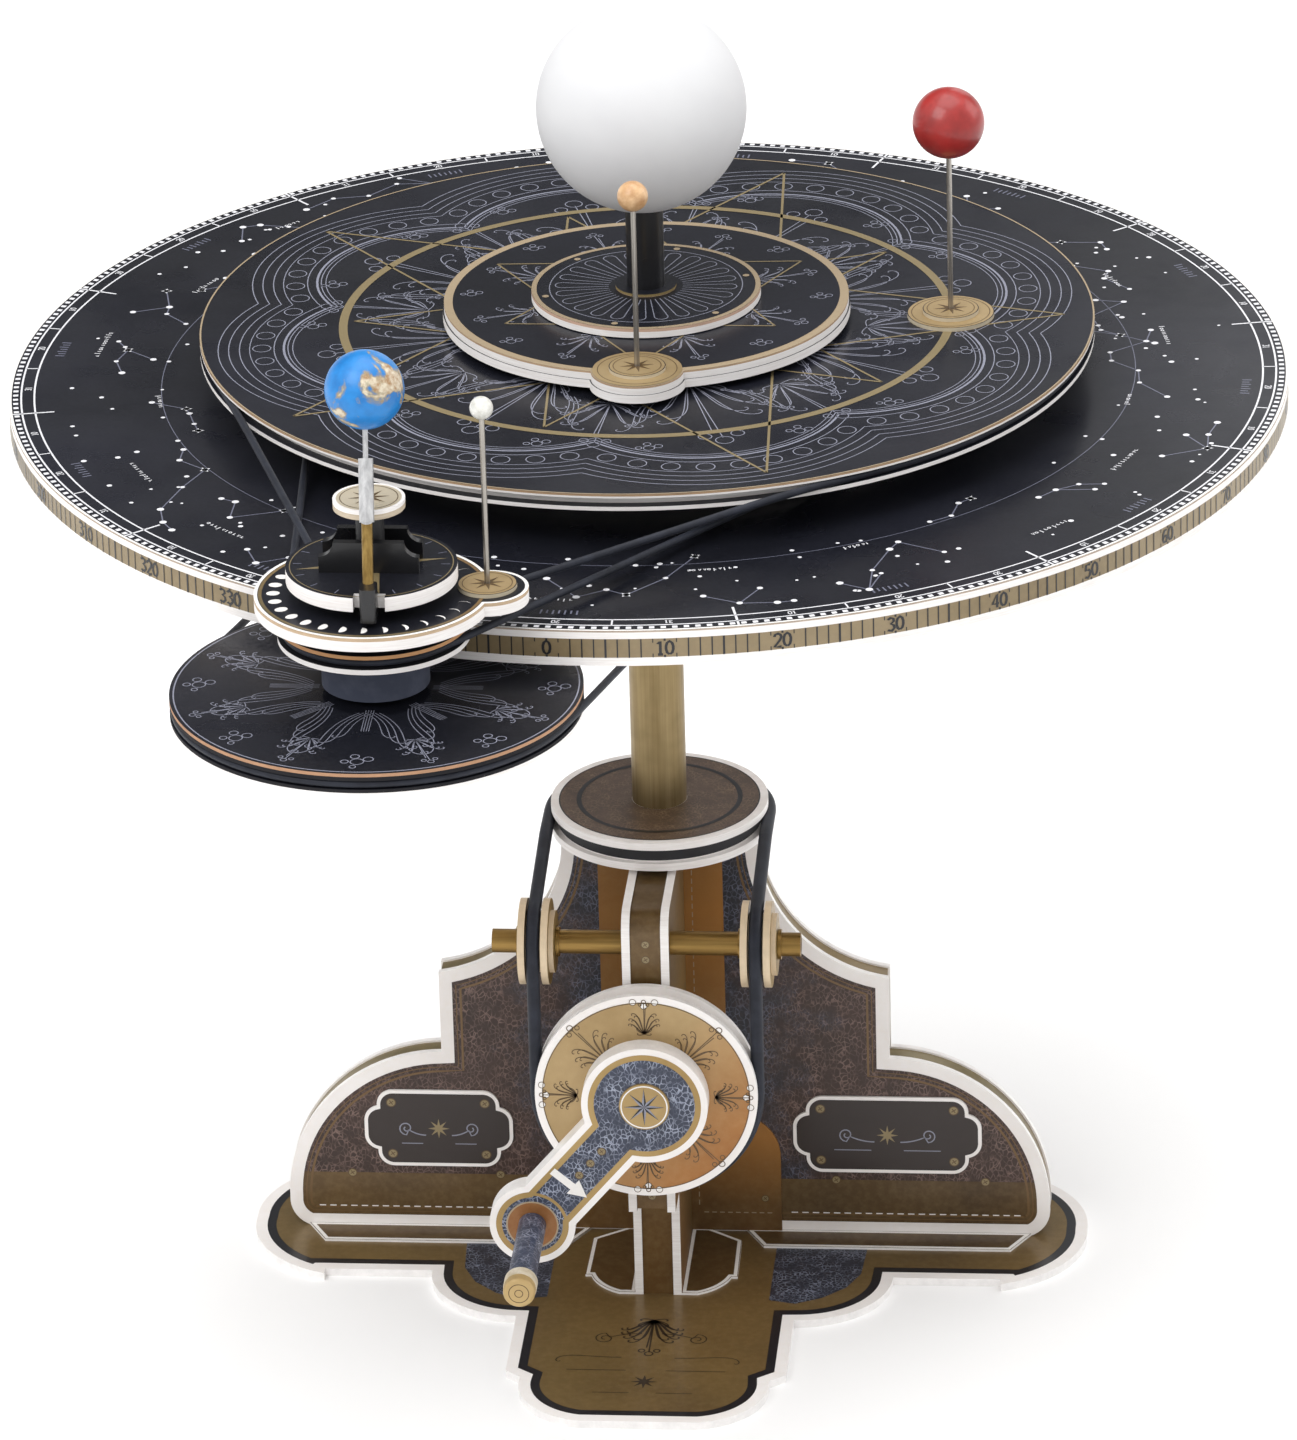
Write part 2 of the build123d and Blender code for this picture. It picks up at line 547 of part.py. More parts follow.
SPOKES, SPOKE_W, HUB_R = 8, 3.0, 24.0
spoke_length = ZODIAC_R - BAND_T - 1 - HUB_R
with BuildPart() as zodiac_core:
    ring(Plane.XY.offset(ZODIAC_BOTTOM + BOARD), HUB_R, ZODIAC_T - 2 * BOARD, SHAFT_R)
    with BuildSketch(Plane.XY.offset(ZODIAC_BOTTOM + BOARD)):
        with PolarLocations(HUB_R + spoke_length / 2 - 0.5, SPOKES):
            Rectangle(spoke_length + 1, SPOKE_W)
    extrude(amount=ZODIAC_T - 2 * BOARD)
save(zodiac_core.part, "zodiac_core")

earth_core = EARTH_PITCH - BELT_R - BELT_GAP
earth_layers = grooved(EARTH_PULLEY_Z, EARTH_PULLEY_Z + EARTH_PULLEY_T, 2.6, EARTH_RIM, earth_core)
with BuildPart() as fixed_pulley:
    pulley(Plane.XY.offset, earth_layers, SHAFT_R)
    ring(Plane.XY.offset(EARTH_PULLEY_Z + EARTH_PULLEY_T), 20, ZODIAC_BOTTOM - EARTH_PULLEY_Z
         - EARTH_PULLEY_T, SHAFT_R)
save(fixed_pulley.part, "fixed_pulley")

# ---- Mercury: pulley, tube and disc -----------------------------------------------------------
mercury_core = MERCURY_PULLEY_PITCH - BELT_R - BELT_GAP
MERCURY_PULLEY_BOTTOM, MERCURY_PULLEY_TOP = 1.2, 6.2
with BuildPart() as mercury_pulley:
    pulley(level, grooved(MERCURY_PULLEY_BOTTOM, MERCURY_PULLEY_TOP, 2.6,
                          MERCURY_PULLEY_PITCH + 2, mercury_core), SHAFT_R + RUN)
    ring(level(MERCURY_PULLEY_TOP), MERCURY_TUBE_R, MERCURY_TOP - MERCURY_PULLEY_TOP,
         SHAFT_R + RUN)
save(mercury_pulley.part, "mercury_pulley")

LABEL_T, MERCURY_LOBE_R, LABEL_R = 1.2, 14.0, 8.3
with BuildPart() as mercury_disc:
    for layer, outline in ((0, 0.0), (1, -0.4)):
        with BuildSketch(level(MERCURY_BOTTOM + layer * BOARD)):
            Circle(MERCURY_R + outline)
            with Locations(MERCURY_PIN):
                Circle(MERCURY_LOBE_R + outline)
            Circle(MERCURY_TUBE_R, mode=Mode.SUBTRACT)
        extrude(amount=BOARD)
    ring(level(MERCURY_TOP), LABEL_R, LABEL_T, 0, MERCURY_PIN)
save(mercury_disc.part, "mercury_disc")


def planet_pin(centre, bottom, ball_z, ball_r):
    """Steel pin that stands in a disc and reaches into its planet."""
    ring(level(bottom), PIN_R, ball_z - ball_r / 2 - ZODIAC_TOP - bottom, 0, centre)


def planet_ball(centre, z, radius):
    """Ball with a hole for its pin."""
    with Locations((*centre, z)):
        Sphere(radius)
    with BuildSketch(Plane.XY.offset(z - radius - 1)) as hole:
        with Locations(centre):
            Circle(PIN_R)
    extrude(hole.sketch, amount=radius / 2 + 1, mode=Mode.SUBTRACT)


with BuildPart() as mercury_pin:
    planet_pin(MERCURY_PIN, MERCURY_TOP + LABEL_T, MERCURY_Z, MERCURY_BALL_R)
save(mercury_pin.part, "mercury_pin")

with BuildPart() as mercury_ball:
    planet_ball(MERCURY_PIN, MERCURY_Z, MERCURY_BALL_R)
save(mercury_ball.part, "mercury_ball")

# ---- Venus disc --------------------------------------------------------------------------------
venus_core = VENUS_PITCH - BELT_R - BELT_GAP
with BuildPart() as venus_disc:
    pulley(level, grooved(VENUS_BOTTOM, VENUS_TOP, 2.6, VENUS_RIM, venus_core),
           MERCURY_TUBE_R + RUN)
    ring(level(MERCURY_PULLEY_TOP + 0.3), 14, VENUS_BOTTOM - MERCURY_PULLEY_TOP - 0.3,
         MERCURY_TUBE_R + RUN)
    ring(level(VENUS_TOP), 12.9, LABEL_T, 0, VENUS_PIN)
    ring(level(VENUS_TOP + LABEL_T), LABEL_R, LABEL_T, 0, VENUS_PIN)
save(venus_disc.part, "venus_disc")

with BuildPart() as venus_pin:
    planet_pin(VENUS_PIN, VENUS_TOP + 2 * LABEL_T, VENUS_Z, VENUS_R)
save(venus_pin.part, "venus_pin")

with BuildPart() as venus_ball:
    planet_ball(VENUS_PIN, VENUS_Z, VENUS_R)
save(venus_ball.part, "venus_ball")

# ---- the Sun -----------------------------------------------------------------------------------
with BuildPart() as sun_disc:
    ring(level(SUN_DISC_BOTTOM), SUN_DISC_R, SUN_DISC_TOP - SUN_DISC_BOTTOM, SHAFT_R)
    ring(level(SUN_DISC_TOP), 9.0, 0.8, SHAFT_R)
save(sun_disc.part, "sun_disc")

SUN_WALL = 2.0
sun_tube_top = SUN_Z - ZODIAC_TOP - SUN_R + 6
with BuildPart() as sun_tube:
    ring(level(SUN_DISC_TOP + 0.8), SUN_TUBE_R, sun_tube_top - SUN_DISC_TOP - 0.8, SHAFT_R)
save(sun_tube.part, "sun_tube")

with BuildPart() as sun_globe:
    with Locations((0, 0, SUN_Z)):
        Sphere(SUN_R)
        Sphere(SUN_R - SUN_WALL, mode=Mode.SUBTRACT)
    with BuildSketch(Plane.XY.offset(SUN_Z - SUN_R - 1)):
        Circle(SUN_TUBE_R)
    extrude(amount=SUN_WALL + 4, mode=Mode.SUBTRACT)
save(sun_globe.part, "sun_globe")

# ---- Moon spindle: roller, pulley stack, disc, pin and ball -----------------------------------------
SPINDLE_BORE = EARTH_ROD_R + RUN
ROLLER_BOTTOM, ROLLER_TOP = -13.0, 0.7
with BuildPart() as roller_drum:
    ring(level(ROLLER_BOTTOM), ROLLER_R, ROLLER_TOP - ROLLER_BOTTOM, SPINDLE_BORE, STATION)
save(roller_drum.part, "roller_drum")

stack_core_mercury = MERCURY_DRIVE_PITCH - BELT_R - BELT_GAP
stack_core_venus = VENUS_DRIVE_PITCH - BELT_R - BELT_GAP
with BuildPart() as moon_pulley_stack:
    pulley(level, [(0.7, 2.2, STACK_RIM), (2.2, 5.2, stack_core_mercury), (5.2, 6.3, STACK_RIM),
                   (6.3, MOON_BOTTOM, stack_core_venus)], SPINDLE_BORE, STATION)
save(moon_pulley_stack.part, "moon_pulley_stack")

with BuildPart() as moon_disc:
    with BuildSketch(level(MOON_BOTTOM)):
        with Locations(STATION):
            Circle(MOON_DISC_R)
        with Locations(MOON_PIN):
            Circle(11.5)
        with Locations(STATION):
            Circle(SPINDLE_BORE, mode=Mode.SUBTRACT)
    extrude(amount=MOON_TOP - MOON_BOTTOM)
    ring(level(MOON_TOP), LABEL_R, LABEL_T, 0, MOON_PIN)
save(moon_disc.part, "moon_disc")

with BuildPart() as moon_pin:
    planet_pin(MOON_PIN, MOON_TOP + LABEL_T, MOON_Z, MOON_R)
save(moon_pin.part, "moon_pin")

with BuildPart() as moon_ball:
    planet_ball(MOON_PIN, MOON_Z, MOON_R)
save(moon_ball.part, "moon_ball")

# ---- Earth spindle: pulley, rod, disc, knob and tilted axis -------------------------------------------
with BuildPart() as earth_pulley:
    pulley(Plane.XY.offset, earth_layers, EARTH_ROD_R, STATION)
save(earth_pulley.part, "earth_pulley")

ROD_BOTTOM = ARM_Z - 2.6
with BuildPart() as earth_rod:
    ring(Plane.XY.offset(ROD_BOTTOM), EARTH_ROD_R, ZODIAC_TOP + KNOB_BOTTOM - ROD_BOTTOM, 0, STATION)
    ring(Plane.XY.offset(ROD_BOTTOM), 6.0, 2.3, 0, STATION)
    ring(level(MOON_TOP + 0.3), 6.0, EARTH_DISC_BOTTOM - MOON_TOP - 0.3, 0, STATION)
save(earth_rod.part, "earth_rod")

AXIS_TOP_R, AXIS_SLEEVE_R, AXIS_TUBE_R = 0.75, 2.1, 1.55
SLEEVE_START, SLEEVE_END = 0.42, 0.70
FOOT_LEVEL = 17.0
foot_rise = EARTH_Z - ZODIAC_TOP - FOOT_LEVEL
foot_lean = foot_rise * tan(radians(EARTH_TILT))
axis_length = foot_rise / cos(radians(EARTH_TILT))
side_x, side_y = sin(radians(TILT_SIDE)), cos(radians(TILT_SIDE))
AXIS_FOOT = (STATION[0] + foot_lean * side_x, STATION[1] - foot_lean * side_y,
             ZODIAC_TOP + FOOT_LEVEL)


def axis_plane(along):
    """Plane across the Earth's tilted axis, at a distance from its foot."""
    lean = (-sin(radians(EARTH_TILT)) * side_x, sin(radians(EARTH_TILT)) * side_y,
            cos(radians(EARTH_TILT)))
    origin = tuple(foot + along * part for foot, part in zip(AXIS_FOOT, lean))
    return Plane(origin=origin, x_dir=(side_y, side_x, 0), z_dir=lean)


with BuildPart() as axis_tube:
    for start, end, radius in ((0, SLEEVE_START, AXIS_TUBE_R), (SLEEVE_START, SLEEVE_END, AXIS_SLEEVE_R)):
        ring(axis_plane(axis_length * start), radius, axis_length * (end - start))
    ring(axis_plane(axis_length * SLEEVE_END), AXIS_TOP_R,
         axis_length * (1 - SLEEVE_END) + EARTH_R * 0.6)
save(axis_tube.part, "axis_tube")

FOOT_CLAMP_W, FOOT_CLAMP_D, FOOT_CLAMP_H, FOOT_SLOT_W = 4.6, 6.4, 10.0, 8.8
FOOT_CENTRE = (AXIS_FOOT[0], AXIS_FOOT[1] + 1.4)
with BuildPart() as axis_foot:
    with BuildSketch(level(FOOT_LEVEL - 0.8)):
        with Locations(FOOT_CENTRE):
            RectangleRounded(FOOT_CLAMP_W, FOOT_CLAMP_D, 1.0)
    extrude(amount=FOOT_CLAMP_H)
    with BuildSketch(axis_plane(0)):
        Circle(AXIS_TUBE_R)
    extrude(amount=axis_length * SLEEVE_START, mode=Mode.SUBTRACT)
save(axis_foot.part, "axis_foot")

with BuildPart() as earth_disc:
    ring(level(EARTH_DISC_BOTTOM), EARTH_DISC_R, EARTH_DISC_TOP - EARTH_DISC_BOTTOM, EARTH_ROD_R,
         STATION)
    with BuildSketch(level(EARTH_DISC_BOTTOM)):
        with Locations(FOOT_CENTRE):
            Rectangle(FOOT_SLOT_W, FOOT_CLAMP_D)
    extrude(amount=EARTH_DISC_TOP - EARTH_DISC_BOTTOM, mode=Mode.SUBTRACT)
save(earth_disc.part, "earth_disc")

with BuildPart() as earth_knob:
    ring(level(EARTH_DISC_TOP), 4.0, KNOB_BOTTOM - EARTH_DISC_TOP, EARTH_ROD_R, STATION)
    ring(level(KNOB_BOTTOM), KNOB_R, KNOB_TOP - KNOB_BOTTOM, 0, STATION)
save(earth_knob.part, "earth_knob")

CREST_W, CREST_H, CREST_BITE = 28.0, 9.0, 4.2
with BuildPart() as axis_bracket:
    for shift in (-4.0 - BOARD, 4.0):
        with BuildSketch(facing(STATION[1] + shift + BOARD)):
            with Locations((STATION[0], ZODIAC_TOP + EARTH_DISC_TOP + CREST_H / 2)):
                Rectangle(CREST_W, CREST_H)
                for side in (-1, 1):
                    with Locations((side * CREST_W / 2, CREST_H / 2)):
                        Circle(CREST_BITE, mode=Mode.SUBTRACT)
        extrude(amount=BOARD)
save(axis_bracket.part, "axis_bracket")

with BuildPart() as earth_globe:
    with Locations((STATION[0], STATION[1], EARTH_Z)):
        Sphere(EARTH_R)
    with BuildSketch(axis_plane(axis_length - EARTH_R - 1)):
        Circle(AXIS_TOP_R + RUN)
    extrude(amount=EARTH_R * 1.6 + 1 + 0.3, mode=Mode.SUBTRACT)
save(earth_globe.part, "earth_globe")


# ---- planet belts ---------------------------------------------------------------------------------
def arm_point(radius, offset_angle, centre, z):
    """Point on a circle about a centre, its angle counted from the arm's direction."""
    angle = radians(arm_angle + offset_angle)
    return (centre[0] + radius * cos(angle), centre[1] + radius * sin(angle), z)


def planet_belt(big, small, z_big, z_small, flat):
    """Open belt from a pulley on the column's axis to one on the station's axis.

    flat is how far each straight strand stays level at its two ends before it slopes.
    """
    turn = 90 - belt_tangents(big, small, STATION_DISTANCE)
    with BuildLine() as path:
        for side in (1, -1):
            start = Vector(*arm_point(big, side * turn, (0, 0), z_big))
            end = Vector(*arm_point(small, side * turn, STATION, z_small))
            if flat:
                run = Vector(end.X - start.X, end.Y - start.Y, 0).normalized()
                points = [start, start + run * flat, end - run * flat, end]
                bend = atan2(abs(z_big - z_small), STATION_DISTANCE - 2 * flat - 40)
                FilletPolyline(*points, radius=0.4 * flat / tan(bend / 2))
            else:
                Line(start, end)
        ThreePointArc(arm_point(big, turn, (0, 0), z_big), arm_point(big, 180, (0, 0), z_big),
                      arm_point(big, -turn, (0, 0), z_big))
        ThreePointArc(arm_point(small, turn, STATION, z_small), arm_point(small, 0, STATION, z_small),
                      arm_point(small, -turn, STATION, z_small))
    return path.wire()


for belt_name, belt_sizes in {
    "earth_belt": (EARTH_PITCH, EARTH_PITCH, EARTH_BELT_Z, EARTH_BELT_Z, 0),
    "mercury_belt": (MERCURY_PULLEY_PITCH, MERCURY_DRIVE_PITCH, ZODIAC_TOP + BELT_LEVEL_MERCURY,
                     ZODIAC_TOP + BELT_LEVEL_MERCURY, 0),
    "venus_belt": (VENUS_PITCH, VENUS_DRIVE_PITCH, ZODIAC_TOP + BELT_LEVEL_VENUS,
                   ZODIAC_TOP + BELT_LEVEL_SPINDLE, 31),
}.items():
    belt_path = planet_belt(*belt_sizes)
    with BuildPart() as belt:
        with BuildSketch(Plane(origin=belt_path.position_at(0), z_dir=belt_path.tangent_at(0))):
            Circle(BELT_R)
        sweep(path=belt_path)
    save(belt.part, belt_name)
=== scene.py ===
"""Looks of the orrery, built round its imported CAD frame: printed card, brass, cord belts and planets."""
from math import asin, atan2, cos, degrees, hypot, pi, radians, sin
import random

import bpy
from mathutils import Matrix, Vector
from mathutils.geometry import tessellate_polygon


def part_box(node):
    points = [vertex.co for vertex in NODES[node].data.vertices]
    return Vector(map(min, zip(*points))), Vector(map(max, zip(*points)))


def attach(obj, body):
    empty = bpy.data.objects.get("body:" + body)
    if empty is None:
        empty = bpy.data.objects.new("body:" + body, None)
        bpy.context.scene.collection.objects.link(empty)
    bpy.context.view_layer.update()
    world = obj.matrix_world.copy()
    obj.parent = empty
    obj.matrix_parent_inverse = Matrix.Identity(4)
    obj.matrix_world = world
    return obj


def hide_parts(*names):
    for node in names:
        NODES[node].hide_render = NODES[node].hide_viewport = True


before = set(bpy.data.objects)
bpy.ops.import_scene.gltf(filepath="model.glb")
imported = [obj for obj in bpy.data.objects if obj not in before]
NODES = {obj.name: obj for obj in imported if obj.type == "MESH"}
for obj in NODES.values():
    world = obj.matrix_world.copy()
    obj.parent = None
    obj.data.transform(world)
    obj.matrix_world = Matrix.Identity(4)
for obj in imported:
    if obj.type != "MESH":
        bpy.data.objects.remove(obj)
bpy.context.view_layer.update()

MM = 0.001
INK_LIFT = 0.00004           # how far a printed layer stands above its board
STAR_TURNS = random.Random(7)    # how bright stars are turned on the chart


def srgb(code):
    """Linear RGBA of a hex colour."""
    parts = [int(code[i:i + 2], 16) / 255 for i in (0, 2, 4)]
    return tuple(c / 12.92 if c <= 0.04045 else ((c + 0.055) / 1.055) ** 2.4 for c in parts) + (1.0,)


def shade(colour, share):
    """A colour made darker or lighter by a share."""
    return tuple(c * share for c in colour[:3]) + (1,)


# ---- places that the frame gives -----------------------------------------------------------------
def corner(node, which, axis):
    """One coordinate of a node's box in millimetres: which is 0 for low and 1 for high."""
    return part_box(node)[which][axis] / MM


def half_span(node, axis):
    """Half the width of a node's box along one axis, in millimetres."""
    return (corner(node, 1, axis) - corner(node, 0, axis)) / 2


def middle(node, axis):
    """Middle of a node's box along one axis, in millimetres."""
    return (corner(node, 0, axis) + corner(node, 1, axis)) / 2


def centre_xy(node):
    """Middle of a node's box seen from above, in millimetres."""
    return (middle(node, 0), middle(node, 1))


LABEL_T, LABEL_R = 1.2, 8.3    # thickness and radius of the small label discs under the pins
SUN_LABEL_T = 0.8              # ring at the foot of the Sun tube
CHART_TOP = corner("zodiac_top_board", 1, 2)
CHART_R = corner("zodiac_top_board", 1, 0)
VENUS_TOP = corner("venus_disc", 1, 2) - 2 * LABEL_T
VENUS_R = corner("venus_disc", 1, 0)
MERCURY_TOP = corner("mercury_disc", 1, 2) - LABEL_T
SUN_DISC_TOP = corner("sun_disc", 1, 2) - SUN_LABEL_T
SUN_DISC_R = corner("sun_disc", 1, 0)
MOON_TOP = corner("moon_disc", 1, 2) - LABEL_T
EARTH_TOP = corner("earth_disc", 1, 2)
EARTH_DISC_R = half_span("earth_disc", 0)
LOWER_TOP = corner("earth_pulley", 1, 2)
LOWER_R = half_span("earth_pulley", 0)
STATION = centre_xy("earth_pulley")
COLUMN_PULLEY_TOP = corner("column_pulley", 1, 2)
PANEL_FRONT = corner("pedestal_front_panel", 0, 1)
PANEL_BACK = corner("pedestal_rear_panel", 1, 1)
BASE_TOP = corner("base_plate", 1, 2)
CRANK_FRONT = corner("crank_arm", 0, 1)
WHEEL_FRONT = corner("crank_wheel", 0, 1)
CRANK_CENTRE = (middle("crank_wheel", 0), middle("crank_wheel", 2))
GRIP_CENTRE = (middle("grip_pin", 0), middle("grip_pin", 2))


# ---- shader helper -------------------------------------------------------------------------------
class Paint:
    """A node material on one Principled shader, with short names for the nodes it uses."""

    def __init__(self, name, roughness=0.5, metallic=0.0, coat=0.0, specular=0.5, sheen=0.0):
        self.material = bpy.data.materials.new(name)
        self.material.use_nodes = True
        self.tree = self.material.node_tree
        self.shader = self.tree.nodes["Principled BSDF"]
        for socket, value in (("Roughness", roughness), ("Metallic", metallic), ("Coat Weight", coat),
                              ("Specular IOR Level", specular), ("Sheen Weight", sheen)):
            self.shader.inputs[socket].default_value = value
        self.shader.inputs["Coat Roughness"].default_value = 0.12
        self.coords = self.tree.nodes.new("ShaderNodeTexCoord")

    def set(self, node, sockets):
        for key, value in sockets.items():
            if isinstance(value, bpy.types.NodeSocket):
                self.tree.links.new(value, node.inputs[key])
            else:
                node.inputs[key].default_value = value
        return node

    def add(self, kind, sockets=None, **settings):
        node = self.tree.nodes.new(kind)
        for key, value in settings.items():
            setattr(node, key, value)
        return self.set(node, sockets or {})

    def place(self, stretch=(1, 1, 1), turn=(0, 0, 0)):
        """Object coordinates in metres, stretched and turned."""
        node = self.add("ShaderNodeMapping", {"Vector": self.coords.outputs["Object"], "Scale": stretch,
                                              "Rotation": turn})
        return node.outputs["Vector"]

    def part_of(self, vector, axis):
        return self.add("ShaderNodeSeparateXYZ", {"Vector": vector}).outputs[axis]

    def position(self, axis):
        """One object coordinate, in millimetres."""
        return self.math("DIVIDE", self.part_of(self.coords.outputs["Object"], axis), MM)

    def normal(self, axis):
        return self.part_of(self.coords.outputs["Normal"], axis)

    def faces(self, axis):
        """1 where the surface looks along an axis, either way, and 0 elsewhere."""
        return self.math("GREATER_THAN", self.math("ABSOLUTE", self.normal(axis)), 0.7)

    def math(self, operation, a, b=0.0, clamp=False):
        node = self.add("ShaderNodeMath", {0: a, 1: b}, operation=operation, use_clamp=clamp)
        return node.outputs[0]

    def noise(self, scale, detail=4.0, roughness=0.55, vector=None, distortion=0.0):
        node = self.add("ShaderNodeTexNoise", {"Vector": vector or self.place(), "Scale": scale,
                                               "Detail": detail, "Roughness": roughness,
                                               "Distortion": distortion})
        return node.outputs["Fac"]

    def voronoi(self, scale, feature="DISTANCE_TO_EDGE", vector=None, randomness=1.0):
        node = self.add("ShaderNodeTexVoronoi", {"Vector": vector or self.place(), "Scale": scale,
                                                 "Randomness": randomness}, feature=feature)
        return node.outputs["Distance"]

    def span(self, value, low, high, start=0.0, end=1.0):
        """Value mapped from low..high to start..end, and held at the ends."""
        node = self.add("ShaderNodeMapRange", {"Value": value, "From Min": low, "From Max": high,
                                               "To Min": start, "To Max": end})
        return node.outputs["Result"]

    def mix(self, factor, a, b, blend="MIX"):
        node = self.add("ShaderNodeMix", data_type="RGBA", blend_type=blend)
        for index, value in ((0, factor), (6, a), (7, b)):
            if isinstance(value, bpy.types.NodeSocket):
                self.tree.links.new(value, node.inputs[index])
            else:
                node.inputs[index].default_value = value
        return node.outputs[2]

    def colour(self, value):
        self.set(self.shader, {"Base Color": value})

    def bump(self, height, strength=0.3, distance=0.0002):
        node = self.add("ShaderNodeBump", {"Height": height, "Strength": strength, "Distance": distance})
        self.set(self.shader, {"Normal": node.outputs["Normal"]})

    def rough(self, value):
        self.set(self.shader, {"Roughness": value})

    def grained(self, scale, strength, distance=0.0001, detail=3):
        """The finished material, with a fine grain raised on it."""
        self.bump(self.noise(scale, detail, 0.6), strength, distance)
        return self.material


# ---- colours -------------------------------------------------------------------------------------
NIGHT, NIGHT_LIGHT = srgb("14151b"), srgb("1f2029")
CARD_WHITE, CARD_GREY = srgb("faf7f5"), srgb("eae4e0")
TAN, GOLD_LINE = srgb("a69377"), srgb("8f7f5c")
LAVENDER = srgb("8b8d9c")
GOLD, GOLD_DARK, COPPER = srgb("a98b56"), srgb("7a6238"), srgb("a8692f")
LABEL_EDGE, UNDERSIDE = srgb("cbbfa6"), srgb("3a3734")


def card_edge(paint, colour=CARD_WHITE, dark=CARD_GREY):
    """Cut edge of a board: pale, with faint fibre layers along it."""
    layers = paint.noise(1.0, 5, 0.7, paint.place((90, 90, 2600)))
    return paint.mix(paint.span(layers, 0.35, 0.7), colour, dark)


def night_print(paint):
    """Dark blue-black glossy print with slow tone changes and very fine paper tooth."""
    tone = paint.noise(9, 4, 0.6)
    grain = paint.noise(900, 2, 0.5)
    base = paint.mix(paint.span(tone, 0.35, 0.7), NIGHT, NIGHT_LIGHT)
    return paint.mix(paint.span(grain, 0.4, 0.75, 0, 0.08), base, srgb("4a4c58"))


def disc_material(name, top=0.0, bands=(), gloss=0.26):
    """Printed board that looks up; its cut edge is coloured in bands of (height from the face, colour)."""
    paint = Paint(name, roughness=gloss, specular=0.3)
    height = paint.position(2)
    edge = card_edge(paint)
    for start, colour in bands:
        fibres = paint.noise(1.0, 4, 0.6, paint.place((150, 150, 900)))
        tinted = paint.mix(paint.span(fibres, 0.35, 0.7), colour, shade(colour, 0.8))
        edge = paint.mix(paint.math("GREATER_THAN", height, top + start), edge, tinted)
    flat = paint.faces(2)
    face = paint.mix(paint.math("GREATER_THAN", paint.normal(2), 0.0), UNDERSIDE, night_print(paint))
    paint.colour(paint.mix(flat, edge, face))
    smudge = paint.span(paint.noise(26, 3, 0.6), 0.3, 0.75, gloss * 0.8, gloss * 1.7)
    paint.rough(paint.math("ADD", smudge, paint.math("MULTIPLY", paint.math("SUBTRACT", 1.0, flat), 0.45)))
    paint.bump(paint.noise(160, 2, 0.5, paint.place((1, 0.35, 1))), 0.08, 0.0002)
    return paint.material


def leather_print(paint, dark, light, scale=520, turn=0.0):
    """Printed leather: fine cracks between long cells, broken up and fading in places."""
    place = paint.place((1.0, 1.0, 0.72), (0, turn, 0))
    warped = paint.add("ShaderNodeVectorMath", {0: place}, operation="ADD")
    shift = paint.add("ShaderNodeTexNoise", {"Vector": place, "Scale": 260.0, "Detail": 2.0})
    offset = paint.add("ShaderNodeVectorMath", {0: shift.outputs["Color"], 3: 0.0022}, operation="SCALE")
    paint.tree.links.new(offset.outputs[0], warped.inputs[1])
    cracks = paint.voronoi(scale, vector=warped.outputs[0])
    line = paint.span(cracks, 0.01, 0.12, 1.0, 0.0)
    blotch = paint.span(paint.noise(75, 4, 0.65), 0.32, 0.72)
    base = paint.mix(blotch, dark, shade(dark, 1.7))
    broken = paint.math("MULTIPLY", line, paint.span(paint.noise(210, 4, 0.65), 0.38, 0.64, 0.05, 0.9))
    return paint.mix(broken, base, light)


# ---- materials of plain substances ---------------------------------------------------------------
def white_card_material():
    paint = Paint("white_card", roughness=0.75, specular=0.2)
    paint.colour(card_edge(paint))
    return paint.grained(700, 0.15)


def gold_print(paint, light=GOLD, dark=GOLD_DARK, warm=COPPER):
    """Metallic gold ink on card: cloudy, with a warmer tone in places."""
    cloud = paint.noise(16, 4, 0.6)
    fine = paint.noise(420, 3, 0.6)
    base = paint.mix(paint.span(cloud, 0.3, 0.72), light, dark)
    base = paint.mix(paint.span(paint.noise(7, 2, 0.5), 0.5, 0.75, 0, 0.35), base, warm)
    return paint.mix(paint.span(fine, 0.4, 0.75, 0, 0.07), base, srgb("d8c08c"))


def gold_face_material(name="gold_face", light=GOLD, dark=GOLD_DARK, warm=COPPER, roughness=0.38):
    paint = Paint(name, roughness=roughness, metallic=0.35, coat=0.15)
    paint.colour(gold_print(paint, light, dark, warm))
    return paint.grained(600, 0.06)


def gold_board_material(name, axis, light=GOLD, dark=GOLD_DARK, warm=COPPER, edge=CARD_WHITE):
    """Board with gold print on the faces that look along one axis, and pale cut edges."""
    paint = Paint(name, roughness=0.42, coat=0.1)
    flat = paint.faces(axis)
    fibres = paint.span(paint.noise(1.0, 4, 0.7, paint.place((200, 200, 200))), 0.3, 0.7)
    pale = paint.mix(fibres, edge, shade(edge, 0.85))
    paint.colour(paint.mix(flat, pale, gold_print(paint, light, dark, warm)))
    return paint.grained(500, 0.08)


def plain_board_material(name, axis):
    """Bare white board, whose printed faces are laid over it."""
    return gold_board_material(name, axis, CARD_WHITE, CARD_GREY, CARD_WHITE)


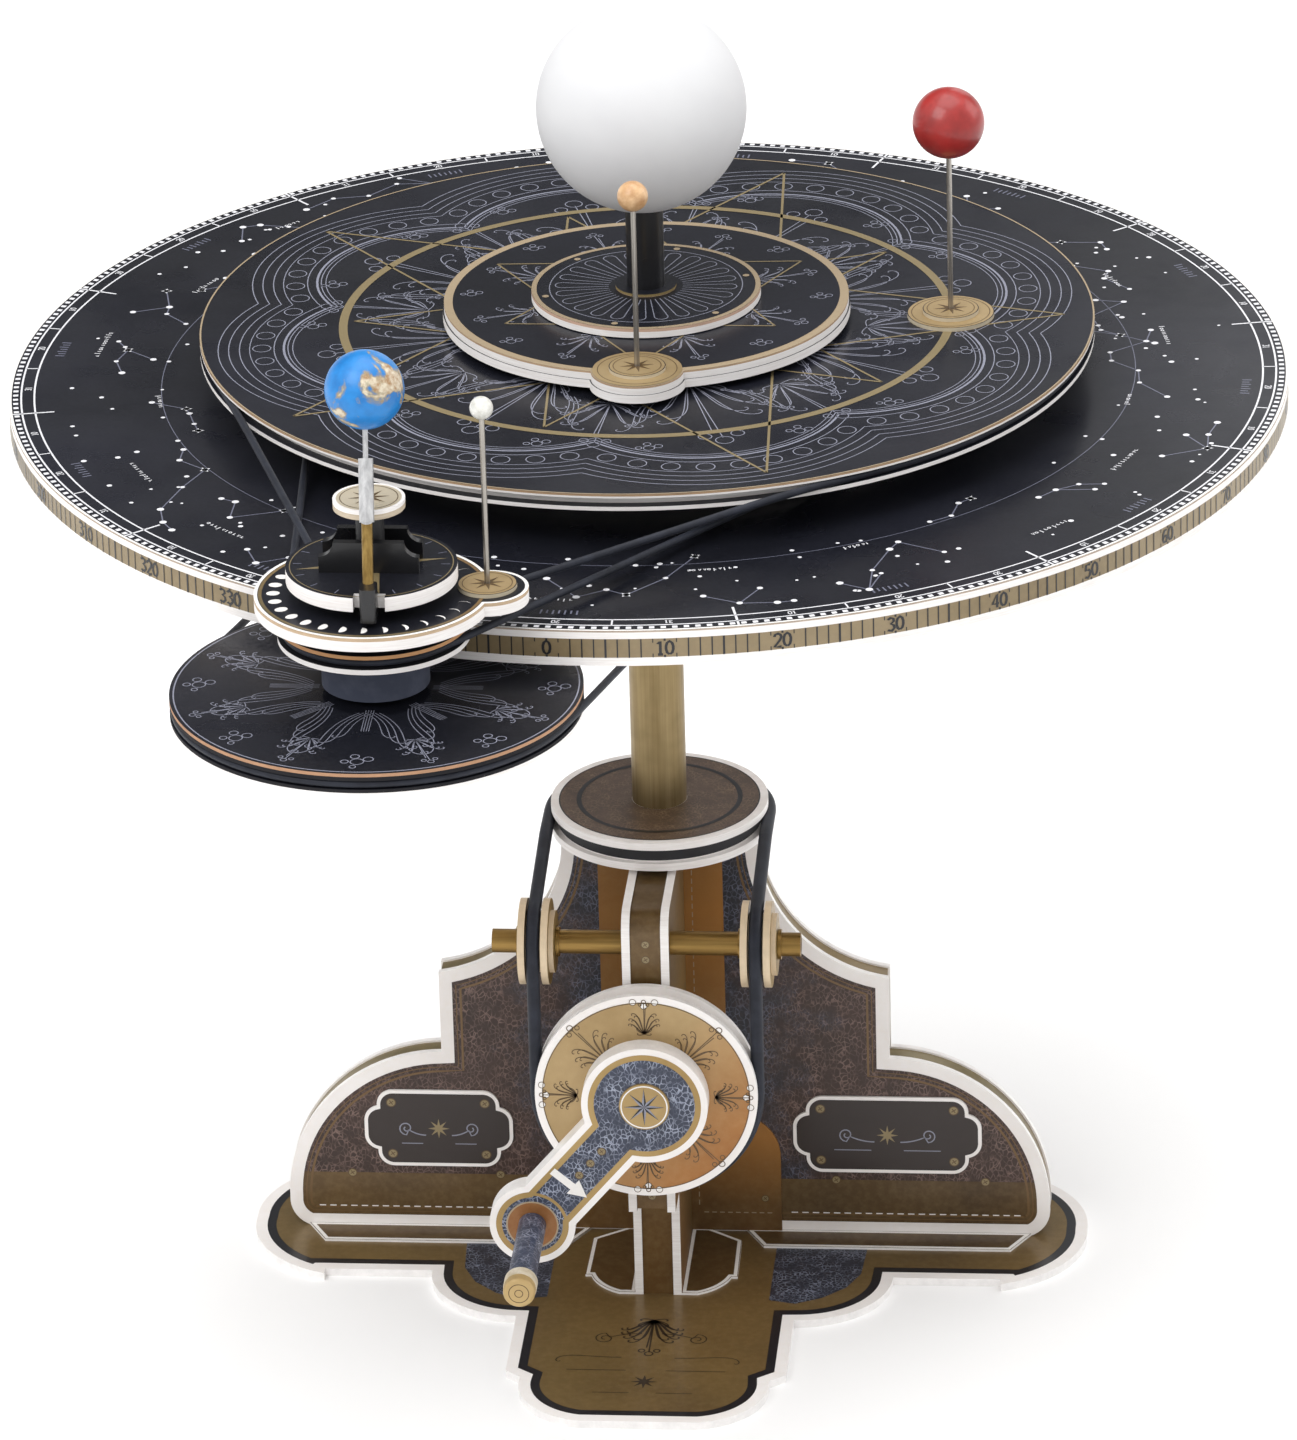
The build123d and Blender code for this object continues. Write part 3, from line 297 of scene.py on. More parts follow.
def brass_material(name="brass", light=srgb("a8874c"), dark=srgb("6b5328"), along=2, roughness=0.34):
    """Drawn brass tube: fine lines along it, with tarnish in patches."""
    paint = Paint(name, roughness=roughness, metallic=0.85)
    stretch = [420, 420, 420]
    stretch[along] = 9
    lines = paint.noise(1.0, 4, 0.6, paint.place(tuple(stretch)))
    patches = paint.noise(28, 4, 0.65)
    base = paint.mix(paint.span(lines, 0.3, 0.7), light, dark)
    paint.colour(paint.mix(paint.span(patches, 0.5, 0.75, 0, 0.5), base, srgb("5d5032")))
    paint.rough(paint.span(patches, 0.3, 0.8, roughness * 0.75, roughness * 1.5))
    paint.bump(lines, 0.12, 0.00005)
    return paint.material


def steel_material():
    paint = Paint("steel", roughness=0.28, metallic=0.9)
    lines = paint.noise(1.0, 3, 0.6, paint.place((900, 900, 30)))
    paint.colour(paint.mix(paint.span(lines, 0.3, 0.7), srgb("b9b4ac"), srgb("8a857e")))
    paint.bump(lines, 0.08, 0.00003)
    return paint.material


def plastic_material(name, colour, roughness=0.35, coat=0.0, mottle=0.15):
    paint = Paint(name, roughness=roughness, coat=coat)
    tone = paint.noise(60, 3, 0.6)
    darker = shade(colour, 1 - mottle)
    paint.colour(paint.mix(paint.span(tone, 0.3, 0.7), colour, darker))
    paint.rough(paint.span(paint.noise(35, 3, 0.6), 0.3, 0.7, roughness * 0.85, roughness * 1.2))
    paint.bump(paint.noise(1200, 2, 0.5), 0.06, 0.00004)
    return paint.material


def rubber_material(name, colour, dust=srgb("6a6d78")):
    """Round rubber cord: near black with a dusty bloom and a fine skin."""
    paint = Paint(name, roughness=0.55, specular=0.3, sheen=0.05)
    bloom = paint.span(paint.noise(90, 4, 0.65), 0.45, 0.8, 0, 0.35)
    paint.colour(paint.mix(bloom, colour, dust))
    return paint.grained(900, 0.15, 0.00006)


def wood_material():
    paint = Paint("bare_wood", roughness=0.6)
    rings = paint.noise(1.0, 4, 0.6, paint.place((260, 260, 14)))
    paint.colour(paint.mix(paint.span(rings, 0.35, 0.65), srgb("b98d5c"), srgb("8b6238")))
    paint.bump(rings, 0.2, 0.0001)
    return paint.material


def ball_material(name, colour, dark, roughness=0.22, coat=0.5, scale=120):
    """Painted wooden ball: brushed lacquer with small specks."""
    paint = Paint(name, roughness=roughness, coat=coat)
    specks = paint.noise(scale * 8, 2, 0.5)
    tone = paint.noise(scale, 3, 0.6)
    base = paint.mix(paint.span(tone, 0.35, 0.7), colour, dark)
    paint.colour(paint.mix(paint.span(specks, 0.62, 0.72, 0, 0.3), base, dark))
    paint.bump(paint.noise(scale * 3, 3, 0.55), 0.08, 0.0001)
    return paint.material


def sun_material():
    paint = Paint("sun_white", roughness=0.6, specular=0.25)
    tone = paint.noise(30, 3, 0.55)
    paint.colour(paint.mix(paint.span(tone, 0.3, 0.75), srgb("dcdcdd"), srgb("d3d3d5")))
    return paint.grained(700, 0.1, 0.00008)


def earth_material():
    """Hand-painted globe: bright sea, sandy land with darker hills and coasts."""
    paint = Paint("earth_globe_paint", roughness=0.4, coat=0.15)
    centre = (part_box("earth_globe")[0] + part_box("earth_globe")[1]) / 2
    place = paint.add("ShaderNodeMapping", {"Vector": paint.coords.outputs["Object"],
                                            "Location": tuple(-c for c in centre)}).outputs["Vector"]
    radius = (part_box("earth_globe")[1].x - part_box("earth_globe")[0].x) / 2
    land = paint.noise(110, 4, 0.55, place, 0.5)
    for middle in ((0.75, -0.5, 0.5), (-0.5, -0.75, -0.55), (0.1, 0.9, 0.3)):
        away = paint.add("ShaderNodeVectorMath", {0: place, 1: tuple(c * radius for c in middle)},
                         operation="DISTANCE").outputs["Value"]
        land = paint.math("ADD", land, paint.span(away, 0, radius * 0.8, 0.13, 0.0))
    hills = paint.noise(420, 3, 0.6, place)
    sea = paint.mix(paint.span(paint.noise(150, 3, 0.6, place), 0.35, 0.7), srgb("1583cf"), srgb("0f6cb4"))
    sand = paint.mix(paint.span(hills, 0.4, 0.65), srgb("d6cbb4"), srgb("a07c54"))
    shore = paint.mix(paint.span(land, 0.54, 0.60), sea, srgb("8f8468"))
    paint.colour(paint.mix(paint.span(land, 0.58, 0.63), shore, sand))
    paint.bump(hills, 0.2, 0.0001)
    return paint.material


# ---- printed layers ------------------------------------------------------------------------------
def on_top(z, centre=(0.0, 0.0)):
    """Places a flat print on a face that looks up."""
    return lambda u, v, lift: ((centre[0] + u) * MM, (centre[1] + v) * MM, z * MM + lift)


def on_front(y, centre=(0.0, 0.0)):
    """Places a print on a face that looks towards the crank's side: u is X and v is Z."""
    return lambda u, v, lift: ((centre[0] + u) * MM, y * MM - lift, (centre[1] + v) * MM)


def on_back(y):
    """Places a print on a face that looks away from the crank's side."""
    return lambda u, v, lift: (u * MM, y * MM + lift, v * MM)


def on_drum(radius, centre=(0.0, 0.0)):
    """Wraps a print round an upright cylinder: u is the angle in degrees and v is Z."""
    def wrap(u, v, lift):
        reach = radius * MM + lift
        return (centre[0] * MM + reach * cos(radians(u)), centre[1] * MM + reach * sin(radians(u)), v * MM)
    return wrap


class Print:
    """Collects strips, rings and filled shapes, and makes one thin mesh of them."""

    def __init__(self, name, body, slot, material, place, layer=1):
        self.name, self.body, self.slot, self.material = name, body, slot, material
        self.place, self.lift = place, layer * INK_LIFT
        self.points, self.faces = [], []

    def fill(self, outline):
        """Filled polygon."""
        start = len(self.points)
        self.points += outline
        triangles = tessellate_polygon([[Vector((u, v, 0)) for u, v in outline]])
        for a, b, c in triangles:
            pa, pb, pc = outline[a], outline[b], outline[c]
            turn = (pb[0] - pa[0]) * (pc[1] - pa[1]) - (pb[1] - pa[1]) * (pc[0] - pa[0])
            face = (a, b, c) if turn > 0 else (c, b, a)
            self.faces.append(tuple(start + index for index in face))

    def dot(self, u, v, radius, sides=20):
        self.fill(arc_points((u, v), radius, 0, 360, sides)[:-1])

    def line(self, points, width, closed=False):
        """Strip of even width along a line of points."""
        count = len(points)
        if count < 2:
            return
        start = len(self.points)
        for index, (u, v) in enumerate(points):
            before = points[index - 1] if index or closed else points[index]
            after = points[(index + 1) % count] if index < count - 1 or closed else points[index]
            du, dv = after[0] - before[0], after[1] - before[1]
            size = hypot(du, dv) or 1.0
            nu, nv = -dv / size * width / 2, du / size * width / 2
            self.points += [(u + nu, v + nv), (u - nu, v - nv)]
        last = count if closed else count - 1
        for index in range(last):
            a, b = start + 2 * index, start + 2 * ((index + 1) % count)
            self.faces.append((a + 1, b + 1, b, a))

    def ring(self, u, v, radius, width, sides=48):
        self.line(arc_points((u, v), radius, 0, 360, sides)[:-1], width, True)

    def make(self):
        points = [self.place(u, v, self.lift) for u, v in self.points]
        make_piece(self.name, points, self.faces, self.material, self.body, self.slot)


class Sheet:
    """Prints on one body, and on one face and slot unless told otherwise, made in the order begun."""

    def __init__(self, body, place, slot):
        self.body, self.place, self.slot, self.prints = body, place, slot, []

    def ink(self, name, material, layer, slot=None, place=None):
        self.prints.append(Print(name, self.body, slot or self.slot, material, place or self.place, layer))
        return self.prints[-1]

    def make(self):
        for ink in self.prints:
            ink.make()


def make_piece(name, points, faces, material, body, slot):
    """Mesh object of points in metres, with its material, which rides a body; the slot argument is not used.
    """
    mesh = bpy.data.meshes.new(name)
    mesh.from_pydata(points, [], faces)
    mesh.materials.append(material)
    piece = bpy.data.objects.new(name, mesh)
    bpy.context.scene.collection.objects.link(piece)
    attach(piece, body)


def arc_points(centre, radius, start, end, steps):
    return [polar(radius, start + (end - start) * i / steps, centre) for i in range(steps + 1)]


def polar(radius, angle, centre=(0.0, 0.0)):
    return (centre[0] + radius * cos(radians(angle)), centre[1] + radius * sin(radians(angle)))


def turned(points, angle, centre=(0.0, 0.0), scale=1.0, flip=1):
    """Points scaled, mirrored if flip is -1, turned by an angle and moved to a centre."""
    c, s = cos(radians(angle)) * scale, sin(radians(angle)) * scale
    return [(centre[0] + u * c - v * flip * s, centre[1] + u * s + v * flip * c) for u, v in points]


def spiral(turns, outer, inner, start=0.0, steps=14):
    """Spiral about the origin, from its outer end inwards."""
    count = int(turns * steps)
    return [polar(outer + (inner - outer) * i / count, start + 360.0 * turns * i / count)
            for i in range(count + 1)]


def scroll_line(length, curl, turns=1.3):
    """Stem along +u that bends up into a spiral at its end."""
    stem = [(length * t / 8, curl * 0.9 * (t / 8) ** 2 - curl * 0.9) for t in range(8)]
    return stem + turned(spiral(turns, curl * 0.9, curl * 0.18, -90), 0, (length, 0))


def flow(length, start, bend, curl, steps=30):
    """Line from the origin whose heading starts at an angle, turns slowly and curls up at its end."""
    points, u, v = [(0.0, 0.0)], 0.0, 0.0
    for k in range(1, steps + 1):
        t = k / steps
        heading = radians(start + bend * t + curl * t ** 5)
        step = length * 1.35 / steps * (1 - 0.8 * t ** 3)
        u, v = u + step * cos(heading), v + step * sin(heading)
        points.append((u, v))
    return points


def palmette(ink, centre, angle, size, width, leaves=5):
    """Fan of long curling plumes, drawn double, with a row of small circles at its tip."""
    for k in range(leaves):
        spread = (k - (leaves - 1) / 2) / ((leaves - 1) / 2)
        side = 1 if spread >= 0 else -1
        reach = size * (0.92 - 0.34 * abs(spread))
        for share, shift in ((1.0, 0.0), (0.86, -3.0)):
            curl = side * 300 if spread else 0
            plume = flow(reach * share, spread * 58 + side * shift, spread * -44, curl)
            ink.line(turned(plume, angle, centre), width)
    for side in (-1, 1):
        for start, length in ((70, 0.34), (112, 0.24)):
            tendril = flow(size * length, side * start, side * -30, side * -330, 22)
            ink.line(turned(tendril, angle, centre), width)
    for k, (u, v) in enumerate(((1.02, 0), (0.93, 0.11), (0.93, -0.11))):
        tip = turned([(size * u, size * v)], angle, centre)[0]
        ink.ring(*tip, size * (0.045 if k else 0.06), width, 14)


def wave_bundle(ink, start, angle, length, side, width, count=3):
    """Parallel lines that sweep out in an S and end in spirals, each shorter than the one outside it."""
    for k in range(count):
        line = flow(length * (1 - 0.13 * k), side * 46, side * -86, side * 330, 36)
        ink.line(turned(line, angle, turned([(0, side * -1.3 * k)], angle, start)[0]), width)


def cluster(ink, centre, radius, width, count=4):
    """Small group of circles that touch, the first one larger."""
    ink.ring(*centre, radius * 1.25, width, 16)
    for k in range(count):
        u, v = polar(radius * 2.3, 30 + 75 * k, centre)
        ink.ring(u, v, radius * (0.95 - 0.12 * k), width, 14)


def star_lines(ink, tips, skip, width):
    """Star polygon through tips, each joined to the one skip places on."""
    for index, tip in enumerate(tips):
        other = tips[(index + skip) % len(tips)]
        ink.line([tip, other], width)


def compass_star(ink, centre, radius, points=8, inner=0.32, turn=0.0):
    """Filled star with long thin points."""
    outline = []
    for k in range(2 * points):
        reach = radius if k % 2 == 0 else radius * inner
        outline.append(polar(reach, turn + 180 / points * k, centre))
    ink.fill(outline)


def rivet(ink_light, ink_dark, u, v, radius):
    """Printed screw head with a cross slot."""
    ink_light.dot(u, v, radius)
    ink_dark.ring(u, v, radius, radius * 0.22, 20)
    for angle in (35, 125):
        ends = [polar(side * radius * 0.6, angle, (u, v)) for side in (-1, 1)]
        ink_dark.line(ends, radius * 0.2)


# ---- outlines read from the frame ----------------------------------------------------------------
def face_loops(node, axis, level):
    """Closed outlines, in millimetres, of a node's flat face across one axis at a level."""
    mesh = NODES[node].data
    others = [k for k in range(3) if k != axis]
    key = {}
    for vertex in mesh.vertices:
        if abs(vertex.co[axis] / MM - level) < 0.02:
            key[vertex.index] = tuple(round(vertex.co[k] / MM, 2) for k in others)
    edges = {}
    for polygon in mesh.polygons:
        corners = list(polygon.vertices)
        if all(c in key for c in corners):
            for a, b in zip(corners, corners[1:] + corners[:1]):
                pair = (key[a], key[b])
                if pair[0] != pair[1]:
                    edges[pair] = edges.get(pair, 0) + 1
    border = {a: b for (a, b) in edges if (b, a) not in edges}
    loops = []
    while border:
        start = next(iter(border))
        loop, point = [start], border.pop(start)
        while point != start and point in border:
            loop.append(point)
            point = border.pop(point)
        if len(loop) > 2:
            loops.append(loop)
    return sorted(loops, key=lambda loop: -abs(area(loop)))


def area(loop):
    return sum(a[0] * b[1] - b[0] * a[1] for a, b in zip(loop, loop[1:] + loop[:1])) / 2


def inset(loop, distance):
    """Outline moved inwards, without the points that would fold over."""
    if area(loop) < 0:
        loop = loop[::-1]
    count = len(loop)
    moved = []
    for index in range(count):
        before, here, after = loop[index - 1], loop[index], loop[(index + 1) % count]
        first = Vector((here[0] - before[0], here[1] - before[1]))
        second = Vector((after[0] - here[0], after[1] - here[1]))
        if first.length < 1e-6 or second.length < 1e-6:
            continue
        first.normalize()
        second.normalize()
        normal = Vector((-first.y - second.y, first.x + second.x))
        if normal.length < 1e-3:
            continue
        normal.normalize()
        scale = distance / max(0.35, normal.dot(Vector((-first.y, first.x))))
        moved.append((here[0] + normal.x * scale, here[1] + normal.y * scale))
    return [point for point in moved if gap_to(point, loop) > abs(distance) * 0.97]


def gap_to(point, loop):
    """Shortest distance from a point to an outline."""
    best = 1e9
    for a, b in zip(loop, loop[1:] + loop[:1]):
        du, dv = b[0] - a[0], b[1] - a[1]
        size = du * du + dv * dv
        along = (point[0] - a[0]) * du + (point[1] - a[1]) * dv
        t = 0.0 if size == 0 else max(0.0, min(1.0, along / size))
        best = min(best, hypot(point[0] - a[0] - t * du, point[1] - a[1] - t * dv))
    return best


def dashes(ink, start, end, count, width, share=0.6):
    for k in range(count):
        a, b = k / count, (k + share) / count
        ink.line([(start[0] + (end[0] - start[0]) * a, start[1] + (end[1] - start[1]) * a),
                  (start[0] + (end[0] - start[0]) * b, start[1] + (end[1] - start[1]) * b)], width)


# ---- inks ----------------------------------------------------------------------------------------
def ink_material(name, colour, metallic=0.0, roughness=0.35, coat=0.2):
    """Printed ink: even, with the paper's tooth showing through a little."""
    paint = Paint(name, roughness=roughness, metallic=metallic, coat=coat)
    tooth = paint.noise(1100, 3, 0.6)
    paint.colour(paint.mix(paint.span(tooth, 0.45, 0.8, 0, 0.25), colour,
                           shade(colour, 0.72)))
    paint.bump(tooth, 0.04, 0.00003)
    return paint.material


INK_WHITE = ink_material("ink_white", srgb("e6e6ea"))
INK_LAVENDER = ink_material("ink_lavender", LAVENDER)
INK_GREY = ink_material("ink_grey", srgb("6d6f80"))
INK_GOLD = ink_material("ink_gold", GOLD_LINE, metallic=0.25, roughness=0.4)
INK_TAN = ink_material("ink_tan", TAN)
INK_BLACK = ink_material("ink_black", srgb("17171c"))
INK_BROWN = ink_material("ink_brown", srgb("5b4526"))
INK_DARK = ink_material("ink_dark", srgb("2c2114"))
INK_BRIGHT = ink_material("ink_bright", srgb("efece8"), roughness=0.5, coat=0.0)


# ---- numerals, drawn with strokes ----------------------------------------------------------------
DIGITS = {
    "0": [[(1, 0), (0.3, 0.5), (0, 1.5), (0, 2.5), (0.3, 3.5), (1, 4), (1.7, 3.5), (2, 2.5), (2, 1.5),
           (1.7, 0.5), (1, 0)]],
    "1": [[(0.3, 3.2), (1.1, 4), (1.1, 0)], [(0.4, 0), (1.8, 0)]],
    "2": [[(0, 3.1), (0.3, 3.8), (1, 4), (1.7, 3.7), (2, 3), (1.6, 2), (0, 0), (2, 0)]],
    "3": [[(0, 3.5), (0.8, 4), (1.7, 3.7), (1.8, 2.8), (0.9, 2.2), (1.8, 1.7), (2, 0.8), (1.2, 0),
           (0, 0.4)]],
    "4": [[(1.5, 0), (1.5, 4), (0, 1.2), (2.1, 1.2)]],
    "5": [[(1.9, 4), (0.3, 4), (0.2, 2.3), (1.2, 2.5), (2, 1.8), (1.8, 0.6), (1, 0), (0, 0.4)]],
    "6": [[(1.8, 3.7), (0.9, 3.9), (0.2, 2.8), (0, 1.2), (0.6, 0.1), (1.5, 0.1), (2, 1.1), (1.5, 2.1),
           (0.7, 2.1), (0.05, 1.3)]],
    "7": [[(0, 4), (2, 4), (0.8, 0)]],
    "8": [[(1, 2.2), (0.2, 2.8), (0.3, 3.7), (1, 4), (1.7, 3.7), (1.8, 2.8), (1, 2.2), (0, 1.4), (0.2, 0.4),
           (1, 0), (1.8, 0.4), (2, 1.4), (1, 2.2)]],
    "9": [[(0.2, 0.3), (1.1, 0.1), (1.8, 1.2), (2, 2.8), (1.4, 3.9), (0.5, 3.9), (0, 2.9), (0.5, 1.9),
           (1.3, 1.9), (1.95, 2.7)]],
}
DIGIT_STEP = 2.7


def number(ink, value, place, height, width):
    """Number with its middle at the origin of place, which maps (right, up) to the print."""
    text = str(value)
    scale = height / 4
    left = -(len(text) * DIGIT_STEP - 0.7) / 2
    for index, digit in enumerate(text):
        for stroke in DIGITS[digit]:
            across = left + index * DIGIT_STEP
            ink.line([place((across + u) * scale, (v - 2) * scale) for u, v in stroke], width)


# ---- CAD nodes that keep their shape -------------------------------------------------------------
ABOVE_FACE = 0.05             # just over a disc's face, where its label discs begin
LOWER_EDGE = ((-5.8, srgb("1c1b1f")), (-1.0, srgb("b98f70")))


def finish_nodes():
    """Give every CAD node its material."""
    white = white_card_material()
    brass = brass_material()
    steel = steel_material()
    black = plastic_material("black_plastic", srgb("141417"), 0.3, 0.2)
    belt = rubber_material("belt_rubber", srgb("191c26"), srgb("434857"))
    finish = {
        "zodiac_top_board": disc_material("chart_card", CHART_TOP, [(-0.5, srgb("b9a898"))]),
        "zodiac_bottom_board": white,
        "zodiac_core": white,
        "zodiac_rim_band": rim_band_material(),
        "venus_disc": disc_material("venus_card", VENUS_TOP, [(-0.6, srgb("b89878")),
                                                              (ABOVE_FACE, LABEL_EDGE)]),
        "mercury_disc": disc_material("mercury_card", MERCURY_TOP, [(-0.5, srgb("c0a284")),
                                                                   (ABOVE_FACE, LABEL_EDGE)]),
        "sun_disc": disc_material("sun_disc_card", SUN_DISC_TOP, [(-0.9, srgb("d3b09a")),
                                                                  (ABOVE_FACE, srgb("8f7c52"))]),
        "moon_disc": disc_material("moon_card", MOON_TOP, [(-1.0, srgb("cbb193")),
                                                           (ABOVE_FACE, LABEL_EDGE)]),
        "earth_disc": disc_material("earth_card"),
        "moon_pulley_stack": stack_material(),
        "mercury_pulley": disc_material("mercury_pulley_card"),
        "earth_pulley": disc_material("lower_card", LOWER_TOP, LOWER_EDGE),
        "fixed_pulley": disc_material("fixed_card", LOWER_TOP, LOWER_EDGE),
        "arm_boards": gold_board_material("arm_card", 2, srgb("8d7440"), srgb("6a5530"),
                                          edge=srgb("d9a877")),
        "column_pulley": column_pulley_material(),
        "column_tube": brass_material("column_brass", srgb("9b8863"), srgb("7b6846"), 2, 0.38),
        "column_bushes": plastic_material("bush_nylon", srgb("dcdad2"), 0.4),
        "thrust_washers": plastic_material("washer_nylon", srgb("cfcdc4"), 0.4),
        "centre_shaft": steel, "crank_axle": steel, "earth_rod": steel,
        "venus_pin": steel, "mercury_pin": steel, "moon_pin": steel,
        "axis_tube": axis_tube_material(),
        "sun_tube": black, "axis_foot": black, "axis_bracket": black,
        "guide_axle": brass_material("axle_brass", srgb("a5854c"), srgb("70572c"), 0, 0.36),
        "grip_pin": grip_end_material(),
        "crank_medallion": gold_face_material("medallion_gold", srgb("bba06c"), srgb("94784a")),
        "crank_bearing": brass, "shaft_block": wood_material(),
        "guide_collars": brass_material("collar_brass", srgb("a5854c"), srgb("70572c"), 0, 0.36),
        **{"guide_pulley_" + side: gold_board_material("guide_card_" + side, 0, GOLD, srgb("6a5630"),
                                                       edge=srgb("dcc6a6")) for side in ("left", "right")},
        "base_plate": plain_board_material("base_card", 2),
        "pedestal_front_panel": plain_board_material("panel_card_front", 1),
        "pedestal_rear_panel": plain_board_material("panel_card_rear", 1),
        "pedestal_edge_strip": gold_face_material("strip_gold", srgb("8a7c58"), srgb("6b5f42")),
        "front_ribs": rib_material("front_rib_card"), "rear_ribs": rib_material("rear_rib_card"),
        "rib_strips": gold_face_material("strip_brown", srgb("6f542c"), srgb("4d3a20"), srgb("8a5e2c")),
        "rib_flaps": flap_material(),
        "foot_flanges": gold_board_material("foot_card", 2, srgb("5a452a"), srgb("3d2f1c")),
        "side_plaques": plain_board_material("plaque_card", 1),
        "crank_wheel": plain_board_material("wheel_card", 1),
        "crank_arm": plain_board_material("crank_card", 1),
        "crank_grip": grip_material(),
        "earth_knob": knob_material(),
        "roller_drum": rubber_material("roller_rubber", srgb("4a4f5f"), srgb("7d8294")),
        "drive_belt": belt, "venus_belt": belt, "mercury_belt": belt, "earth_belt": belt,
        "sun_globe": sun_material(),
        "venus_ball": ball_material("venus_paint", srgb("a92a26"), srgb("8b1f1c"), 0.36, 0.25),
        "mercury_ball": ball_material("mercury_paint", srgb("e0b98c"), srgb("b98a5c"), 0.35, 0.2, 260),
        "moon_ball": ball_material("moon_paint", srgb("e9e8e2"), srgb("c6c4bb"), 0.3, 0.3, 500),
        "earth_globe": earth_material(),
    }
    for name, node in NODES.items():
        node.data.materials.clear()
        node.data.materials.append(finish[name])


def rim_band_material():
    paint = Paint("rim_band_gold", roughness=0.4, metallic=0.2, coat=0.1)
    paint.colour(gold_print(paint, srgb("948468"), srgb("78684c"), srgb("86704a")))
    return paint.grained(600, 0.06)


def stack_material():
    """Pulley stack under the Moon disc: pale cut edges, the middle flange tan, dark grooves."""
    paint = Paint("stack_card", roughness=0.6)
    height = paint.position(2)
    tan_low, tan_high, core_radius = CHART_TOP + 5.1, CHART_TOP + 6.4, 25.5
    tan_flange = paint.math("MULTIPLY", paint.math("GREATER_THAN", height, tan_low),
                            paint.math("LESS_THAN", height, tan_high))
    edge = paint.mix(tan_flange, card_edge(paint), srgb("c3905f"))
    flat = paint.faces(2)
    centre = centre_xy("moon_pulley_stack")
    squares = []
    for axis in (0, 1):
        away = paint.math("SUBTRACT", paint.position(axis), centre[axis])
        squares.append(paint.math("MULTIPLY", away, away))
    reach = paint.math("SQRT", paint.math("ADD", *squares))
    core = paint.math("LESS_THAN", reach, core_radius)
    paint.colour(paint.mix(paint.math("MAXIMUM", flat, core), edge, srgb("1d1d22")))
    return paint.material


def column_pulley_material():
    """Column pulley: white rim edges, black groove, print laid over its top."""
    paint = Paint("column_pulley_card", roughness=0.55)
    height = paint.position(2)
    groove_half = 1.9
    away = paint.math("ABSOLUTE", paint.math("SUBTRACT", height, middle("column_pulley", 2)))
    groove = paint.math("LESS_THAN", away, groove_half)
    paint.colour(paint.mix(groove, card_edge(paint), srgb("1a1a1f")))
    return paint.grained(500, 0.1)


def rib_material(name):
    """Ribs: white cut edges towards the viewer, gold-brown print on their sides."""
    paint = Paint(name, roughness=0.5)
    side = paint.faces(0)
    paint.colour(paint.mix(side, card_edge(paint), gold_print(paint, srgb("6f5429"), srgb("4d3a1f"))))
    return paint.grained(500, 0.1)


def grip_material():
    """Rolled grip: blue-grey leather print with pale streaks along its length."""
    paint = Paint("grip_leather", roughness=0.4, coat=0.15)
    base = leather_print(paint, srgb("2d3447"), srgb("a4aabd"), 620)
    # pale streaks along the grip's length, mixed over the leather print
    pale_streaks = paint.span(paint.noise(1.0, 3, 0.6, paint.place((240, 18, 240))), 0.62, 0.8, 0, 0.6)
    paint.colour(paint.mix(pale_streaks, base, srgb("c9ccd6")))
    return paint.grained(500, 0.2)


def grip_end_material():
    """End of the crank's grip: a cream collar and a gold cap."""
    paint = Paint("grip_end", roughness=0.4, metallic=0.2)
    cap = paint.math("LESS_THAN", paint.position(1), corner("grip_pin", 0, 1) + 3.5)
    cream = paint.mix(paint.span(paint.noise(300, 3, 0.6), 0.35, 0.7), srgb("e6ddca"), srgb("cbbd9f"))
    paint.colour(paint.mix(cap, cream, gold_print(paint, srgb("c4a873"), srgb("96794a"))))
    return paint.grained(500, 0.1)


def flap_material():
    """Glue flaps: copper-gold ink with a painted highlight of bright copper, brightest on the right and near
    the crank's height.
    """
    paint = Paint("flap_card", roughness=0.36, metallic=0.45, coat=0.1)

    def band(level, reach):
        """1 at a height, falling to 0 at a distance above and below it."""
        away = paint.math("ABSOLUTE", paint.math("SUBTRACT", paint.position(2), level))
        return paint.math("SUBTRACT", 1.0, paint.span(away, 0, reach), True)

    # painted highlight: bright copper mixed into the ink near two heights, more strongly towards the right
    painted_highlight = paint.math("MAXIMUM", band(112.0, 55), paint.math("MULTIPLY", band(36.0, 24), 0.8))
    side = paint.span(paint.position(0), -30, 30, 0.35, 1.0)
    base = gold_print(paint, srgb("7f5f36"), srgb("5b432a"), srgb("8a6233"))
    paint.colour(paint.mix(paint.math("MULTIPLY", painted_highlight, side), base, srgb("b07a3c")))
    return paint.grained(420, 0.1)


def knob_material():
    """Knob over the Earth disc: pale card disc on a black post."""
    paint = Paint("knob_card", roughness=0.5)
    bottom = corner("earth_knob", 1, 2) - 2.7
    above = paint.math("GREATER_THAN", paint.position(2), bottom - 0.01)
    band = paint.math("GREATER_THAN", paint.position(2), bottom + 1.6)
    edge = paint.mix(band, card_edge(paint, srgb("cfc0aa"), srgb("b5a58c")), card_edge(paint))
    paint.colour(paint.mix(above, srgb("17171a"), edge))
    return paint.grained(500, 0.1)


def axis_tube_material():
    """Earth's axis: brass lower tube, bright upper tube and pin."""
    paint = Paint("axis_metal", roughness=0.3, metallic=0.7)
    low, high = corner("axis_tube", 0, 2), corner("axis_tube", 1, 2)
    share = paint.span(paint.position(2), low, high)
    upper = paint.math("GREATER_THAN", share, 0.385)
    lines = paint.noise(1.0, 3, 0.6, paint.place((700, 700, 20)))
    brass = paint.mix(paint.span(lines, 0.3, 0.7), srgb("a98b4f"), srgb("7c6231"))
    bright = paint.mix(paint.span(lines, 0.3, 0.7), srgb("e2e2e2"), srgb("b4b4b6"))
    paint.colour(paint.mix(upper, brass, bright))
    paint.bump(lines, 0.08, 0.00003)
    return paint.material


